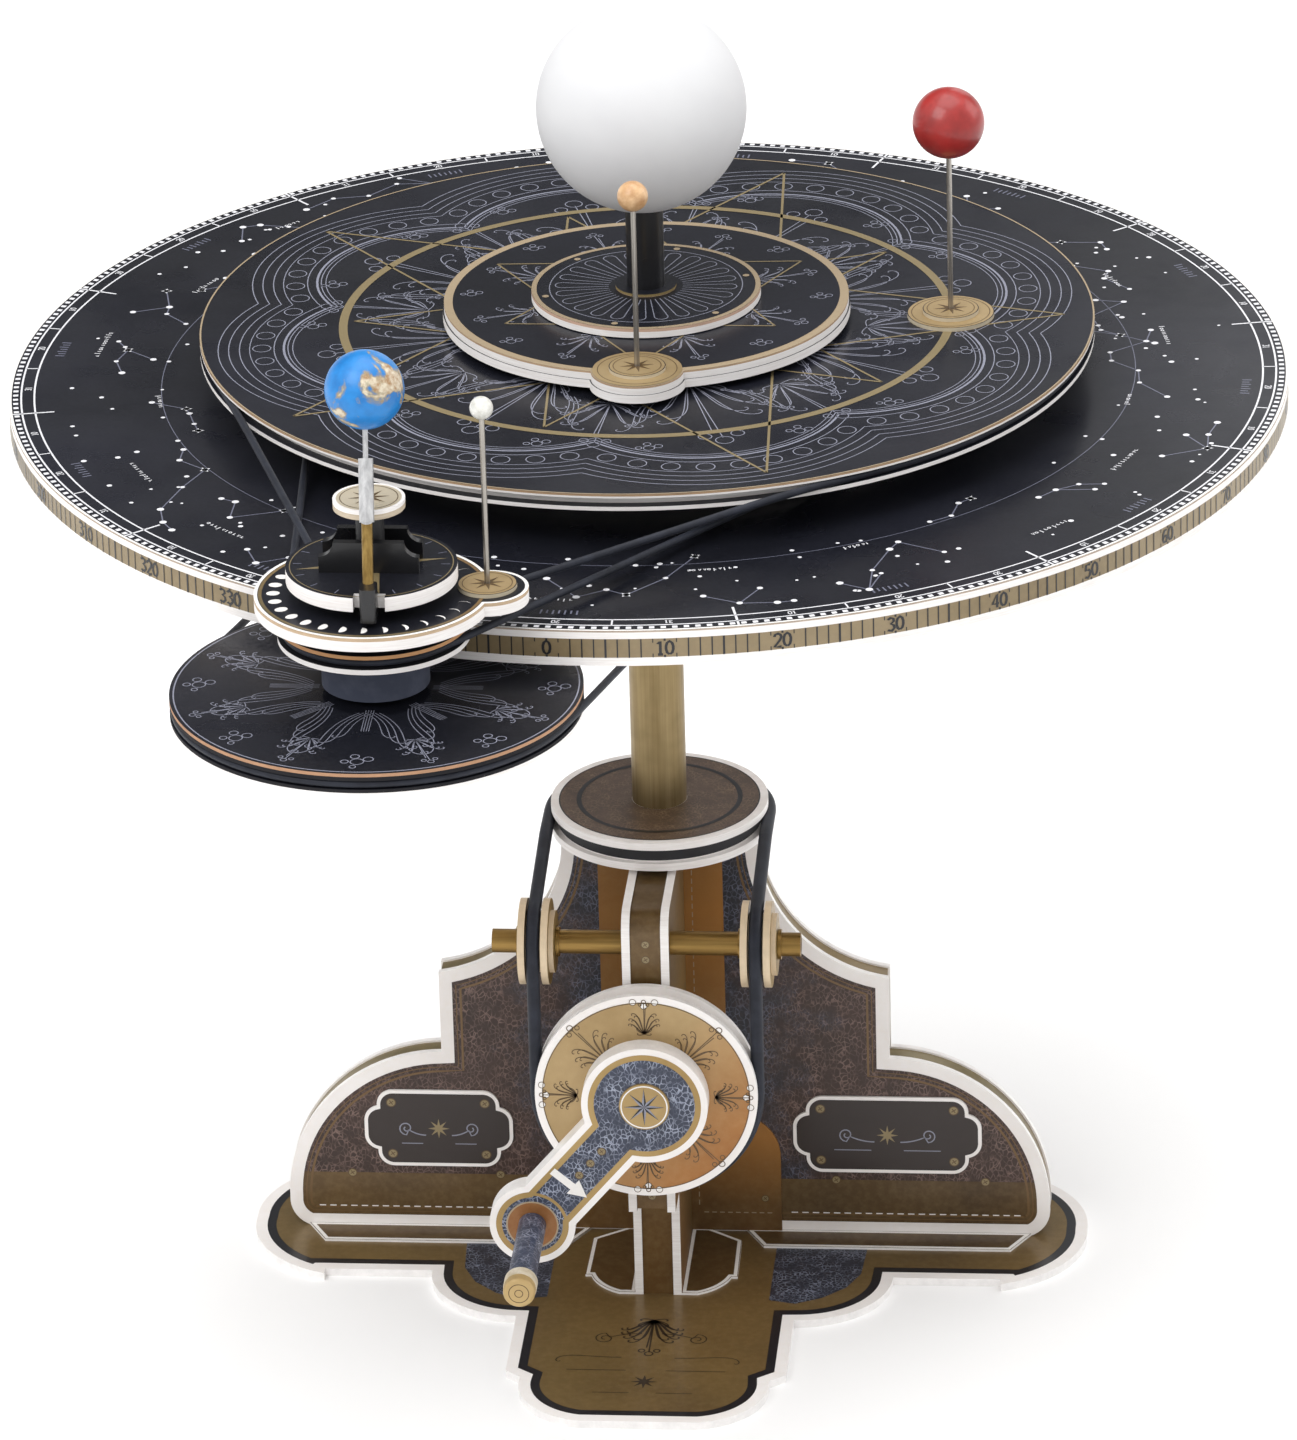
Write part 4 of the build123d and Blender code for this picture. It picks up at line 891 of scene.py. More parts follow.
# ---- round pieces that need a smooth surface -----------------------------------------------------
def smooth_ball(node, body, segments):
    """Finely meshed ball in place of a CAD ball, with the same material."""
    low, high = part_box(node)
    radius = (high.x - low.x) / 2
    centre = Vector(((low.x + high.x) / 2, (low.y + high.y) / 2, high.z - radius))
    bpy.ops.mesh.primitive_uv_sphere_add(segments=segments, ring_count=segments // 2, radius=radius * 0.9995,
                                         location=centre)
    ball = bpy.context.object
    ball.data.transform(Matrix.Translation(ball.location))
    ball.location = (0, 0, 0)
    for polygon in ball.data.polygons:
        polygon.use_smooth = True
    ball.name = ball.data.name = node + "_smooth"
    ball.data.materials.append(NODES[node].data.materials[0])
    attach(ball, body)
    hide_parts(node)


# ---- the star chart ------------------------------------------------------------------------------
DAY_RING_IN, DAY_RING_OUT, TICK_OUT = CHART_R - 7.6, CHART_R - 3.7, CHART_R - 0.9
MONTH_START = -17.5
MONTH_DAYS = (31, 28, 31, 30, 31, 30, 31, 31, 30, 31, 30, 31)
DAY = 360 / sum(MONTH_DAYS)    # one day, in degrees of the date ring
ZERO_DEGREE = -94.0


def chart_print():
    """Date ring, tick ring and month marks of the large disc, then its stars."""
    sheet = Sheet("base", on_top(CHART_TOP), "dark_print_card")
    white = sheet.ink("chart_lines", INK_WHITE, 2)
    dim = sheet.ink("chart_figures", INK_GREY, 1)
    edge = sheet.ink("chart_edge", INK_BRIGHT, 1)
    for radius in (DAY_RING_IN, DAY_RING_OUT):
        white.ring(0, 0, radius, 0.55, 360)
    edge.ring(0, 0, CHART_R - 0.45, 0.8, 360)
    for step in range(sum(MONTH_DAYS)):
        angle = MONTH_START + (step + 0.5) * DAY
        white.line([polar(DAY_RING_OUT + 0.9, angle), polar(TICK_OUT - 0.4, angle)], 1.5)
    angle = MONTH_START
    for days in MONTH_DAYS:
        white.line([polar(DAY_RING_IN - 5.6, angle), polar(TICK_OUT, angle)], 0.7)
        for part in range(1, 3):
            inside = angle + part * 10 * DAY
            white.line([polar(DAY_RING_IN, inside), polar(DAY_RING_OUT, inside)], 0.5)
        for part in range(3):
            label = angle + (part * 10 + 5) * DAY
            chart_number(white, (part + 1) * 10 if part < 2 else days, label)
        day_dashes(dim, angle + 15 * DAY)
        angle += days * DAY
    star_figures(white, dim)
    sheet.make()


def chart_number(ink, value, angle):
    """Small date number between the two rings, its foot towards the rim."""
    radius = (DAY_RING_IN + DAY_RING_OUT) / 2
    number(ink, value, lambda right, up: turned([(radius + up, -right)], angle)[0], 1.9, 0.32)


def day_dashes(ink, angle):
    """Row of short marks beside the middle of a month."""
    for k in range(7):
        a = angle + (k - 3) * 0.55
        ink.line([polar(DAY_RING_IN - 6.0, a), polar(DAY_RING_IN - 3.2 - 0.6 * (k % 2), a)], 0.5)


def star_figures(white, dim):
    """Figures of stars between the Venus disc and the date ring, with loose stars between them."""
    rng = random.Random(11)
    inner, outer = VENUS_R + 5, DAY_RING_IN - 6
    for figure in range(24):
        start = figure * 15 + rng.uniform(-2, 2)
        count = rng.randint(4, 7)
        chain, angle, radius = [], start - 6, rng.uniform(inner + 4, outer - 4)
        for _ in range(count):
            chain.append((radius, angle))
            angle += rng.uniform(1.5, 4.2)
            radius = min(outer, max(inner, radius + rng.uniform(-15, 15)))
        points = [polar(r, a) for r, a in chain]
        dim.line(points[:2], 0.4)
        for a, b in zip(points[1:], points[2:]):
            dim.line([a, b], 0.4)
        if rng.random() < 0.6:
            branch = polar(chain[1][0] + rng.choice((-9, 9)), chain[1][1] + 2.5)
            dim.line([points[1], branch], 0.4)
            star(white, branch, rng.uniform(0.7, 1.1))
        for point in points:
            star(white, point, rng.choice((0.8, 0.95, 1.1, 1.6)))
    for _ in range(170):
        point = polar(rng.uniform(inner, outer), rng.uniform(0, 360))
        star(white, point, rng.uniform(0.45, 0.9))
    for arc in range(20):
        caption_marks(white, arc * 18 + 9, rng)
    dim.ring(0, 0, VENUS_R + 12, 0.25, 240)


def star(ink, point, radius):
    """Small star: a dot, and four rays if it is a bright one."""
    if radius > 1.3:
        compass_star(ink, point, radius * 1.15, 4, 0.45, STAR_TURNS.uniform(0, 90))
        ink.dot(*point, radius * 0.62, 12)
    else:
        ink.dot(*point, radius, 10)


def caption_marks(ink, angle, rng):
    """Row of tiny letter-like marks, without meaning, where the chart names a figure."""
    radius = (VENUS_R + DAY_RING_IN) / 2 + rng.uniform(-14, 16)
    foot = radius - 0.8
    for k in range(rng.randint(6, 12)):
        a = angle + k * 0.56
        kind, tall = rng.randrange(4), rng.choice((1.1, 1.2, 1.8))
        if kind == 0:
            ink.ring(*polar(radius - 0.3, a), 0.45, 0.3, 8)
        elif kind == 1:
            ink.line([polar(foot, a), polar(foot + tall, a)], 0.35)
            ink.line([polar(radius + 0.2, a), polar(radius + 0.1, a + 0.24)], 0.3)
        elif kind == 2:
            ink.line([polar(foot, a), polar(radius + 0.3, a + 0.1), polar(foot, a + 0.26)], 0.32)
        else:
            ink.line([polar(foot, a), polar(foot + tall, a)], 0.35)


def rim_print():
    """Degree scale on the gold rim band."""
    low, high = corner("zodiac_rim_band", 0, 2), corner("zodiac_rim_band", 1, 2)
    black = Print("rim_scale", "base", "gold_print_card", INK_BLACK, on_drum(CHART_R), 2)
    middle_z = (low + high) / 2
    per_mm = degrees(1 / CHART_R)
    for degree in range(360):
        angle = ZERO_DEGREE + degree
        if degree % 10 == 0:
            black.line([(angle, low), (angle, low + 0.7)], 0.6 * per_mm)
            black.line([(angle, high - 0.7), (angle, high)], 0.6 * per_mm)
            upright = lambda right, up, a=angle: (a + right * per_mm, middle_z + up)
            number(black, degree, upright, 4.0, 0.8 * per_mm)
        elif (degree % 10) in (1, 9):
            black.line([(angle, low), (angle, low + 1.2)], 0.28 * per_mm)
            black.line([(angle, high - 1.2), (angle, high)], 0.28 * per_mm)
        else:
            black.line([(angle, low), (angle, high)], (0.6 if degree % 5 == 0 else 0.36) * per_mm)
    widen_strokes(black, per_mm)
    black.make()


def widen_strokes(ink, per_mm):
    """Strokes are drawn in (degrees, mm), so the sides of flat ones need their height back."""
    for index in range(0, len(ink.points) - 1, 2):
        (u0, v0), (u1, v1) = ink.points[index], ink.points[index + 1]
        mid_v, half = (v0 + v1) / 2, (v0 - v1) / 2 / per_mm
        ink.points[index] = (u0, mid_v + half)
        ink.points[index + 1] = (u1, mid_v - half)


# ---- Venus disc ----------------------------------------------------------------------------------
LOBES, LOBE_TURN, LOBE_CENTRE = 8, -4.5, 67.5
SCALLOPS = ((60.9, 0.3), (57.8, 0.3), (54.6, 0.3), (51.6, 0.26), (44.4, 0.3), (41.5, 0.7), (40.3, 0.3),
            (38.9, 0.26))      # radius about the lobe's centre, and line width
BEADS, BEAD_RING, BEAD_RADIUS = 9, 48.0, 2.7
VENUS_ORBIT = hypot(*centre_xy("venus_pin"))
VENUS_ANGLE = degrees(atan2(centre_xy("venus_pin")[1], centre_xy("venus_pin")[0]))


def lobe_arc(radius, lobe):
    """One scallop of the border: an arc about the lobe's centre that ends on the lines between lobes."""
    angle = LOBE_TURN + 360 / LOBES * (lobe + 0.5)
    half = radians(180 / LOBES)
    swing = degrees(half + asin(LOBE_CENTRE * sin(half) / radius))
    centre = polar(LOBE_CENTRE, angle)
    return arc_points(centre, radius, angle - swing, angle + swing, 26), centre, angle, swing


def venus_print():
    """Scalloped border, plumes and circles of the Venus disc, its orbit line and two star polygons."""
    sheet = Sheet("venus", on_top(VENUS_TOP), "dark_print_card")
    pale = sheet.ink("venus_ornament", INK_LAVENDER, 1)
    gold = sheet.ink("venus_gold_lines", INK_GOLD, 2)
    for lobe in range(LOBES):
        for radius, width in SCALLOPS:
            pale.line(lobe_arc(radius, lobe)[0], width)
        _, centre, lobe_angle, swing = lobe_arc(BEAD_RING + 1.9, lobe)
        for k in range(BEADS):
            angle = lobe_angle + (k - (BEADS - 1) / 2) * swing * 2 / BEADS
            pale.ring(*polar(BEAD_RING, angle, centre), BEAD_RADIUS, 0.3, 20)
        palmette(pale, polar(52, lobe_angle), lobe_angle, 44, 0.3, 7)
        cusp = lobe_angle + 180 / LOBES
        palmette(pale, polar(66, cusp), cusp, 30, 0.28, 5)
        for side in (-1, 1):
            cluster(pale, polar(99, lobe_angle + side * 13), 1.3, 0.26, 3)
            start = polar(63, lobe_angle + side * 12)
            wave_bundle(pale, start, lobe_angle + side * 6, 27, side, 0.27, 3)
    gold.ring(0, 0, VENUS_ORBIT, 2.6, 220)
    star_lines(gold, [polar(VENUS_R - 9, VENUS_ANGLE + 72 * k) for k in range(5)], 2, 0.75)
    star_lines(gold, [polar(87, VENUS_ANGLE + 36 + 72 * k) for k in range(5)], 2, 0.7)
    rim = sheet.ink("venus_rim_line", INK_TAN, 2)
    rim.ring(0, 0, VENUS_R - 0.3, 0.5, 260)
    label_print("venus_label", "venus", centre_xy("venus_pin"), VENUS_TOP + LABEL_T, 12.9, False)
    label_print("venus_cap", "venus", centre_xy("venus_pin"), VENUS_TOP + 2 * LABEL_T, LABEL_R, True)
    sheet.make()


def label_print(name, body, centre, z, radius, star_on_it, face=None):
    """Gold label disc with a thin line, and a small star where it is the top one."""
    sheet = Sheet(body, on_top(z, centre), "gold_print_card")
    gold = sheet.ink(name + "_gold", face or LABEL_GOLD, 1)
    gold.dot(0, 0, radius - 0.25, 64)
    dark = sheet.ink(name + "_lines", INK_BROWN, 2)
    dark.ring(0, 0, radius - 1.3, 0.25, 48)
    if star_on_it:
        compass_star(dark, (0, 0), radius * 0.62, 8, 0.3, 11)
    sheet.make()


LABEL_GOLD = gold_face_material("label_gold", srgb("c2aa80"), srgb("9c845c"), srgb("b39566"))
LABEL_PALE = gold_face_material("label_pale", srgb("e6dcc8"), srgb("c9bb9f"), srgb("d3c09c"))


# ---- Mercury disc and Sun disc -------------------------------------------------------------------
def mercury_print():
    """Tan border, gold triangles, plumes and the gold lobe of the Mercury disc."""
    sheet = Sheet("mercury", on_top(MERCURY_TOP), "dark_print_card")
    outline = face_loops("mercury_disc", 2, MERCURY_TOP)[0]
    border = sheet.ink("mercury_border", INK_TAN, 1)
    border.fill(outline)
    face = sheet.ink("mercury_face", NIGHT_FACE, 2)
    face.fill(inset(outline, 2.6))
    pale = sheet.ink("mercury_ornament", INK_LAVENDER, 3)
    gold = sheet.ink("mercury_gold_lines", INK_GOLD, 4)
    star_lines(gold, [polar(52.5, 32.7 + 120 * k) for k in range(3)], 1, 0.6)
    star_lines(gold, [polar(46, 90 + 120 * k) for k in range(3)], 1, 0.6)
    for k in range(8):
        angle = 22.5 + 45 * k
        palmette(pale, polar(35, angle), angle, 17, 0.26, 5)
        cluster(pale, polar(52, angle + 22.5), 1.1, 0.24, 3)
    pin = centre_xy("mercury_pin")
    lobe = sheet.ink("mercury_lobe_gold", LABEL_GOLD, 5, "gold_print_card", place=on_top(MERCURY_TOP, pin))
    lobe.dot(0, 0, 13.1, 60)
    edge = sheet.ink("mercury_lobe_line", INK_BROWN, 6, "gold_print_card", place=on_top(MERCURY_TOP, pin))
    edge.ring(0, 0, 11.6, 0.25, 60)
    label_print("mercury_label", "mercury", pin, MERCURY_TOP + LABEL_T, LABEL_R, True)
    sheet.make()


def sun_disc_print():
    """Tan rim, a ring of long petals round the Sun tube, and six dots."""
    sheet = Sheet("base", on_top(SUN_DISC_TOP), "dark_print_card")
    tan_ring = sheet.ink("sun_disc_border", INK_TAN, 1)
    tan_ring.ring(0, 0, SUN_DISC_R - 0.8, 1.5, 120)
    pale = sheet.ink("sun_disc_rays", INK_LAVENDER, 1)
    dots = sheet.ink("sun_disc_dots", INK_TAN, 2)
    petals, petal_in, petal_out, half_petal = 24, 11, 25, 2.0
    line_radius, dot_ring, dots_round = 28.6, 30.4, 6
    for k in range(petals):
        angle = 360 / petals * k
        for side in (-1, 1):
            pale.line([polar(petal_in, angle + side * 3.5), polar(petal_out, angle + side * 4.6)], 0.3)
        pale.line(arc_points(polar(petal_out, angle), half_petal, angle - 90, angle + 90, 10), 0.3)
    pale.ring(0, 0, line_radius, 0.3, 96)
    for k in range(dots_round):
        dots.dot(*polar(dot_ring, 17 + 360 / dots_round * k), 1.0, 16)
    sheet.make()


# ---- Earth and Moon station ----------------------------------------------------------------------
def moon_phase(ink, centre, radius, angle, lit):
    """Moon picture, lit from 0 for new to 1 for full; the lit side faces one way round the ring."""
    steps = 12
    bright = [(radius * 0.8 * cos(radians(a)), radius * sin(radians(a)))
              for a in [-90 + 180 * i / steps for i in range(steps + 1)]]
    edge = [((1 - 2 * lit) * radius * 0.8 * cos(radians(a)), radius * sin(radians(a)))
            for a in [90 - 180 * i / steps for i in range(1, steps)]]
    ink.fill(turned(bright + edge, angle + 90, centre))


def moon_print():
    """White and tan borders and the ring of Moon phases, with the full Moon opposite the pin."""
    outline = face_loops("moon_disc", 2, MOON_TOP)[0]
    sheet = Sheet("moon_spindle", on_top(MOON_TOP), "dark_print_card")
    border = sheet.ink("moon_border", INK_BRIGHT, 1)
    border.fill(outline)
    black = sheet.ink("moon_ring", NIGHT_FACE, 2)
    black.fill(inset(outline, 1.0))
    tan_ring = sheet.ink("moon_tan_ring", MOON_BORDER, 3)
    tan_ring.ring(*STATION, 31.4, 1.0, 96)
    white = sheet.ink("moon_phases", INK_BRIGHT, 3)
    pictures, phase_ring, phase_radius = 30, 27.7, 1.9
    pin = centre_xy("moon_pin")
    start = degrees(atan2(pin[1] - STATION[1], pin[0] - STATION[0]))
    for k in range(1, pictures):
        angle = start + 360 / pictures * k
        lit = (1 - cos(2 * pi * k / pictures)) / 2
        if lit > 0.02:
            moon_phase(white, polar(phase_ring, angle, STATION), phase_radius, angle, lit)
    label_print("moon_label", "moon_spindle", pin, MOON_TOP + LABEL_T, LABEL_R, True)
    sheet.make()


def earth_disc_print():
    """Compass points, rim line and hour marks of the Earth disc, and the label on its knob."""
    sheet = Sheet("earth_spindle", on_top(EARTH_TOP, STATION), "dark_print_card")
    gold = sheet.ink("earth_compass", INK_GOLD, 1)
    for k in range(4):
        angle = 90 * k + 12
        outline = [polar(21.5, angle), polar(6, angle + 16), polar(5, angle), polar(6, angle - 16)]
        gold.fill(outline)
    gold.ring(0, 0, EARTH_DISC_R - 1.2, 0.3, 80)
    pale = sheet.ink("earth_disc_lines", INK_GREY, 1)
    for k in range(16):
        pale.line([polar(19.5, 22.5 * k + 1), polar(22, 22.5 * k + 1)], 0.3)
    label_print("knob_label", "earth_spindle", STATION, corner("earth_knob", 1, 2), 9.4, True, LABEL_PALE)
    sheet.make()


def lower_disc_print():
    """Stems, waves and circles that spread from the drum over the large pulley below the station."""
    sheet = Sheet("earth_spindle", on_top(LOWER_TOP, STATION), "dark_print_card")
    pale = sheet.ink("lower_ornament", INK_LAVENDER, 1)
    for k in range(8):
        angle = -90 + 45 * k
        for shift in (-2.0, -0.7, 0.7, 2.0):
            pale.line([polar(16, angle + 2 * shift), polar(30, angle + shift)], 0.24)
        for side in (-1, 1):
            wave_bundle(pale, polar(18, angle + side * 9), angle, 33, side, 0.27, 4)
        palmette(pale, polar(38, angle + 22.5), angle + 22.5, 15, 0.26, 5)
        cluster(pale, polar(50, angle), 1.5, 0.28, 4)
    pale.ring(0, 0, LOWER_R - 1.2, 0.4, 160)
    sheet.make()


# ---- pedestal, base and crank --------------------------------------------------------------------
def leather_face_material(name, dark, light, scale=430, coat=0.1):
    paint = Paint(name, roughness=0.42, coat=coat)
    paint.colour(leather_print(paint, dark, light, scale))
    return paint.grained(420, 0.1)


def panel_leather_material():
    """Leather of the pedestal: brown at its wings, blue-black near the ribs."""
    paint = Paint("panel_leather", roughness=0.44, coat=0.06)
    away = paint.math("ABSOLUTE", paint.position(0))
    brown = leather_print(paint, srgb("31211b"), srgb("836b62"), 760)
    blue = leather_print(paint, srgb("1c1e26"), srgb("70758a"), 760, 0.3)
    edge = paint.math("ADD", away, paint.span(paint.noise(60, 3, 0.6), 0.3, 0.7, -14, 14))
    paint.colour(paint.mix(paint.span(edge, 20, 46), blue, brown))
    return paint.grained(420, 0.1)


def panel_print(name, node, level, place):
    """Leather field, gold lines, lower gold band, dashes and rivets of a pedestal panel."""
    band_top, dash_z, rivet_z = 22.0, 9.5, 21.0
    sheet = Sheet("base", place, "gold_print_card")
    outline = face_loops(node, 1, level)[0]
    inner = inset(outline, 4.0)
    leather = sheet.ink(name + "_leather", PANEL_LEATHER, 1, "leather_print_card")
    leather.fill(inner)
    line = sheet.ink(name + "_gold_line", INK_GOLD_BROWN, 3)
    line.line(inset(outline, 6.6), 0.7, True)
    line.line(inset(outline, 5.2), 0.3, True)
    band = sheet.ink(name + "_band", BAND_GOLD, 2)
    low = [point for point in inner if point[1] <= band_top]
    left = sorted((point for point in low if point[0] < 0), key=lambda point: -point[1])
    right = sorted((point for point in low if point[0] >= 0), key=lambda point: point[1])
    band.fill(left + right)
    white = sheet.ink(name + "_dashes", INK_BRIGHT, 4, "white_card")
    for side in (-1, 1):
        dashes(white, (side * 38, dash_z), (side * 110, dash_z), 22, 0.35)
    light = sheet.ink(name + "_rivets", INK_GOLD, 4)
    dark = sheet.ink(name + "_rivet_lines", INK_BROWN, 5)
    for side in (-1, 1):
        for u in (52, 98):
            rivet(light, dark, side * u, rivet_z, 1.3)
    sheet.make()


def plaque_print():
    """Plain plaques with a white outline, four rivets, two scrolls and a small star."""
    sheet = Sheet("base", on_front(corner("side_plaques", 0, 1)), "plaque_card")
    face = sheet.ink("plaque_faces", PLAQUE_FACE, 1)
    light = sheet.ink("plaque_rivets", INK_GOLD, 2)
    dark = sheet.ink("plaque_rivet_lines", INK_BROWN, 3)
    pale = sheet.ink("plaque_ornament", INK_LAVENDER, 2)
    for outline in face_loops("side_plaques", 1, corner("side_plaques", 0, 1)):
        face.fill(inset(outline, 1.1))
        left, right = min(p[0] for p in outline), max(p[0] for p in outline)
        low, high = min(p[1] for p in outline), max(p[1] for p in outline)
        centre = ((left + right) / 2, (low + high) / 2)
        half_u, half_v = (right - left) / 2 - 8.5, (high - low) / 2 - 4.2
        for su in (-1, 1):
            for sv in (-1, 1):
                rivet(light, dark, centre[0] + su * half_u, centre[1] + sv * half_v, 1.4)
            scroll = scroll_line(half_u * 0.42, 2.6, 1.4)
            pale.line(turned(scroll, 0 if su > 0 else 180, (centre[0] + su * 4, centre[1]), 1.0, su), 0.4)
            low_v = centre[1] - 5.2
            pale.line([(centre[0] + su * 5, low_v), (centre[0] + su * half_u * 0.8, low_v)], 0.3)
        compass_star(light, centre, 3.4, 8, 0.34, 90)
    sheet.make()


def flap_print():
    """Dashed lines and rivets on the glue flaps beside the ribs."""
    level = corner("rib_flaps", 0, 1)
    sheet = Sheet("base", on_front(level), "gold_print_card")
    fold_u, foot_z, top_z = 9.6, 9.5, 136
    white = sheet.ink("flap_dashes", INK_TAN, 1, "white_card")
    light = sheet.ink("flap_rivets", INK_GOLD, 1)
    dark = sheet.ink("flap_rivet_lines", INK_BROWN, 2)
    dashes(white, (fold_u, 12), (fold_u, top_z), 44, 0.3)
    dashes(white, (11, foot_z), (33, foot_z), 9, 0.35)
    for side in (-1, 1):
        for u, v in ((30, 14.5), (14, 133), (14, 60), (24, 38)):
            rivet(light, dark, side * u, v, 1.1)
    sheet.make()


def base_print():
    """Base plate: white margin, black line, olive-gold field, leather patches and a shell on the tongue."""
    outline = face_loops("base_plate", 2, BASE_TOP)[0]
    sheet = Sheet("base", on_top(BASE_TOP), "gold_print_card")
    black = sheet.ink("base_black_line", INK_BLACK, 1)
    black.fill(inset(outline, 3.6))
    field = sheet.ink("base_field", BASE_GOLD, 2)
    field.fill(inset(outline, 6.4))
    leather = sheet.ink("base_leather", BASE_LEATHER, 3, "leather_print_card")
    patch = ((34, 15), (34, 50), (42, 52), (50, 48), (57, 41), (61, 32), (62, 15))
    for side in (-1, 1):
        for end in (-1, 1):
            leather.fill([(side * u, end * v) for u, v in patch])
    brown = sheet.ink("base_ornament", INK_DARK, 3)
    crest, scroll, vine, upper_line, star_at, lower_line = 64, 76, 88, 96, 103, 110
    for end in (-1, 1):
        palmette(brown, (0, end * crest), 90 * end, 21, 0.5, 9)
        for flip in (-1, 1):
            turn = 0 if flip > 0 else 180
            brown.line(turned(scroll_line(11, 3.6, 1.5), turn, (flip * 3, end * scroll), 1.0, -flip), 0.4)
            stem = flow(22, 0, -20 * end, 300 * end)
            brown.line(turned(stem, turn, (flip * 8, end * vine), 1.0, flip), 0.35)
            brown.line([(flip * 6, end * upper_line), (flip * 24, end * upper_line)], 0.35)
            brown.line([(flip * 4, end * lower_line), (flip * 15, end * lower_line)], 0.3)
        compass_star(brown, (0, end * star_at), 4.2, 8, 0.34, 90)
    sheet.make()


def wheel_print():
    """Engraved face of the crank wheel, with four groups of circles that bite into its white margin."""
    sheet = Sheet("crank", on_front(WHEEL_FRONT, CRANK_CENTRE), "gold_print_card")
    radius = half_span("crank_wheel", 0)
    gold = sheet.ink("wheel_gold", wheel_face_material(), 1)
    gold.dot(0, 0, radius - 2.2, 120)
    white = sheet.ink("wheel_bites", INK_BRIGHT, 2, "white_card")
    line = sheet.ink("wheel_engraving", INK_BROWN, 3)
    for k in range(8):
        angle = 45 * k
        size = 15.5 if k % 2 else 10.5
        palmette(line, polar(radius - size - 2.2, angle), angle, size, 0.26, 7)
    for k in range(4):
        for shift in (-6, 0, 6):
            spot = polar(radius - (2.0 if shift else 3.4), 90 * k + shift)
            white.dot(*spot, 1.0, 18)
            line.ring(*spot, 1.0, 0.2, 18)
    line.ring(0, 0, radius - 2.4, 0.25, 120)
    sheet.make()


def wheel_face_material():
    """Metallic ink of the wheel: olive gold above, copper towards the lower right."""
    paint = Paint("wheel_gold", roughness=0.36, metallic=0.4, coat=0.1)
    rise = paint.math("SUBTRACT", paint.position(2), CRANK_CENTRE[1])
    fall = paint.math("SUBTRACT", paint.position(0), rise)
    olive = gold_print(paint, srgb("b59b70"), srgb("94794d"), srgb("a8855a"))
    copper = gold_print(paint, srgb("b97c3f"), srgb("8f5a2b"), srgb("c98d4c"))
    paint.colour(paint.mix(paint.span(fall, -12, 46), olive, copper))
    return paint.grained(600, 0.06)


def crank_print():
    """Crank arm: white margin, gold line, blue leather, rivets, the direction arrow and the round end."""
    sheet = Sheet("crank", on_front(CRANK_FRONT), "gold_print_card")
    outline = face_loops("crank_arm", 1, CRANK_FRONT)[0]
    gold = sheet.ink("crank_gold_line", WHEEL_GOLD, 1)
    gold.fill(inset(outline, 2.0))
    leather = sheet.ink("crank_leather", CRANK_LEATHER, 2, "leather_print_card")
    leather.fill(inset(outline, 3.8))
    light = sheet.ink("crank_rivets", INK_GOLD, 4)
    dark = sheet.ink("crank_rivet_lines", INK_BROWN, 5)
    white = sheet.ink("crank_arrow", INK_BRIGHT, 5, "white_card")
    along = (GRIP_CENTRE[0] - CRANK_CENTRE[0], GRIP_CENTRE[1] - CRANK_CENTRE[1])
    angle = degrees(atan2(along[1], along[0]))

    def along_arm(share):
        return (CRANK_CENTRE[0] + along[0] * share, CRANK_CENTRE[1] + along[1] * share)

    for share in (0.38, 0.48, 0.58):
        rivet(light, dark, *along_arm(share), 1.2)
    arrow = [(-7, -1.2), (1, -1.2), (1, -3), (6.5, 0), (1, 3), (1, 1.2), (-7, 1.2)]
    white.fill(turned(arrow, angle + 90, along_arm(0.66)))
    end = on_front(CRANK_FRONT, GRIP_CENTRE)
    gold_end = sheet.ink("crank_end_ring", WHEEL_GOLD, 3, place=end)
    gold_end.ring(0, 0, 10.4, 1.0, 60)
    copper = sheet.ink("crank_end_disc", COPPER_FACE, 4, place=end)
    copper.dot(0, 0, 7.9, 48)
    rim = sheet.ink("crank_end_rim", INK_TAN, 5, place=end)
    rim.ring(0, 0, 7.7, 0.5, 48)
    sheet.make()


def medallion_print():
    """Dark star with paler half rays on the crank's medallion, and rings on the grip's cap."""
    sheet = Sheet("crank", on_front(corner("crank_medallion", 0, 1), CRANK_CENTRE), "gold_print_card")
    star_ink = sheet.ink("medallion_star", INK_BLACK, 1)
    compass_star(star_ink, (0, 0), 6.2, 8, 0.26, 90)
    shine = sheet.ink("medallion_shine", INK_LAVENDER, 2)
    for k in range(8):
        shine.fill([(0, 0), polar(5.8, 90 + 45 * k), polar(1.6, 90 + 45 * k + 22.5)])
    edge = sheet.ink("medallion_edge", INK_BRIGHT, 1, "white_card")
    edge.ring(0, 0, 6.9, 0.4, 60)
    cap_face = on_front(corner("grip_pin", 0, 1), GRIP_CENTRE)
    cap = sheet.ink("cap_rings", INK_BROWN, 1, place=cap_face)
    cap.ring(0, 0, 1.2, 0.25, 20)
    cap.ring(0, 0, 3.0, 0.25, 32)
    sheet.make()


def foot_print():
    """White outlines and brown faces of the glue flanges that lie on the base."""
    level = corner("foot_flanges", 1, 2)
    sheet = Sheet("base", on_top(level), "white_card")
    white = sheet.ink("foot_outlines", INK_BRIGHT, 1)
    brown = sheet.ink("foot_faces", BAND_GOLD, 2, "gold_print_card")
    for outline in face_loops("foot_flanges", 2, level):
        white.fill(inset(outline, 0.2))
        brown.fill(inset(outline, 1.3))
    sheet.make()


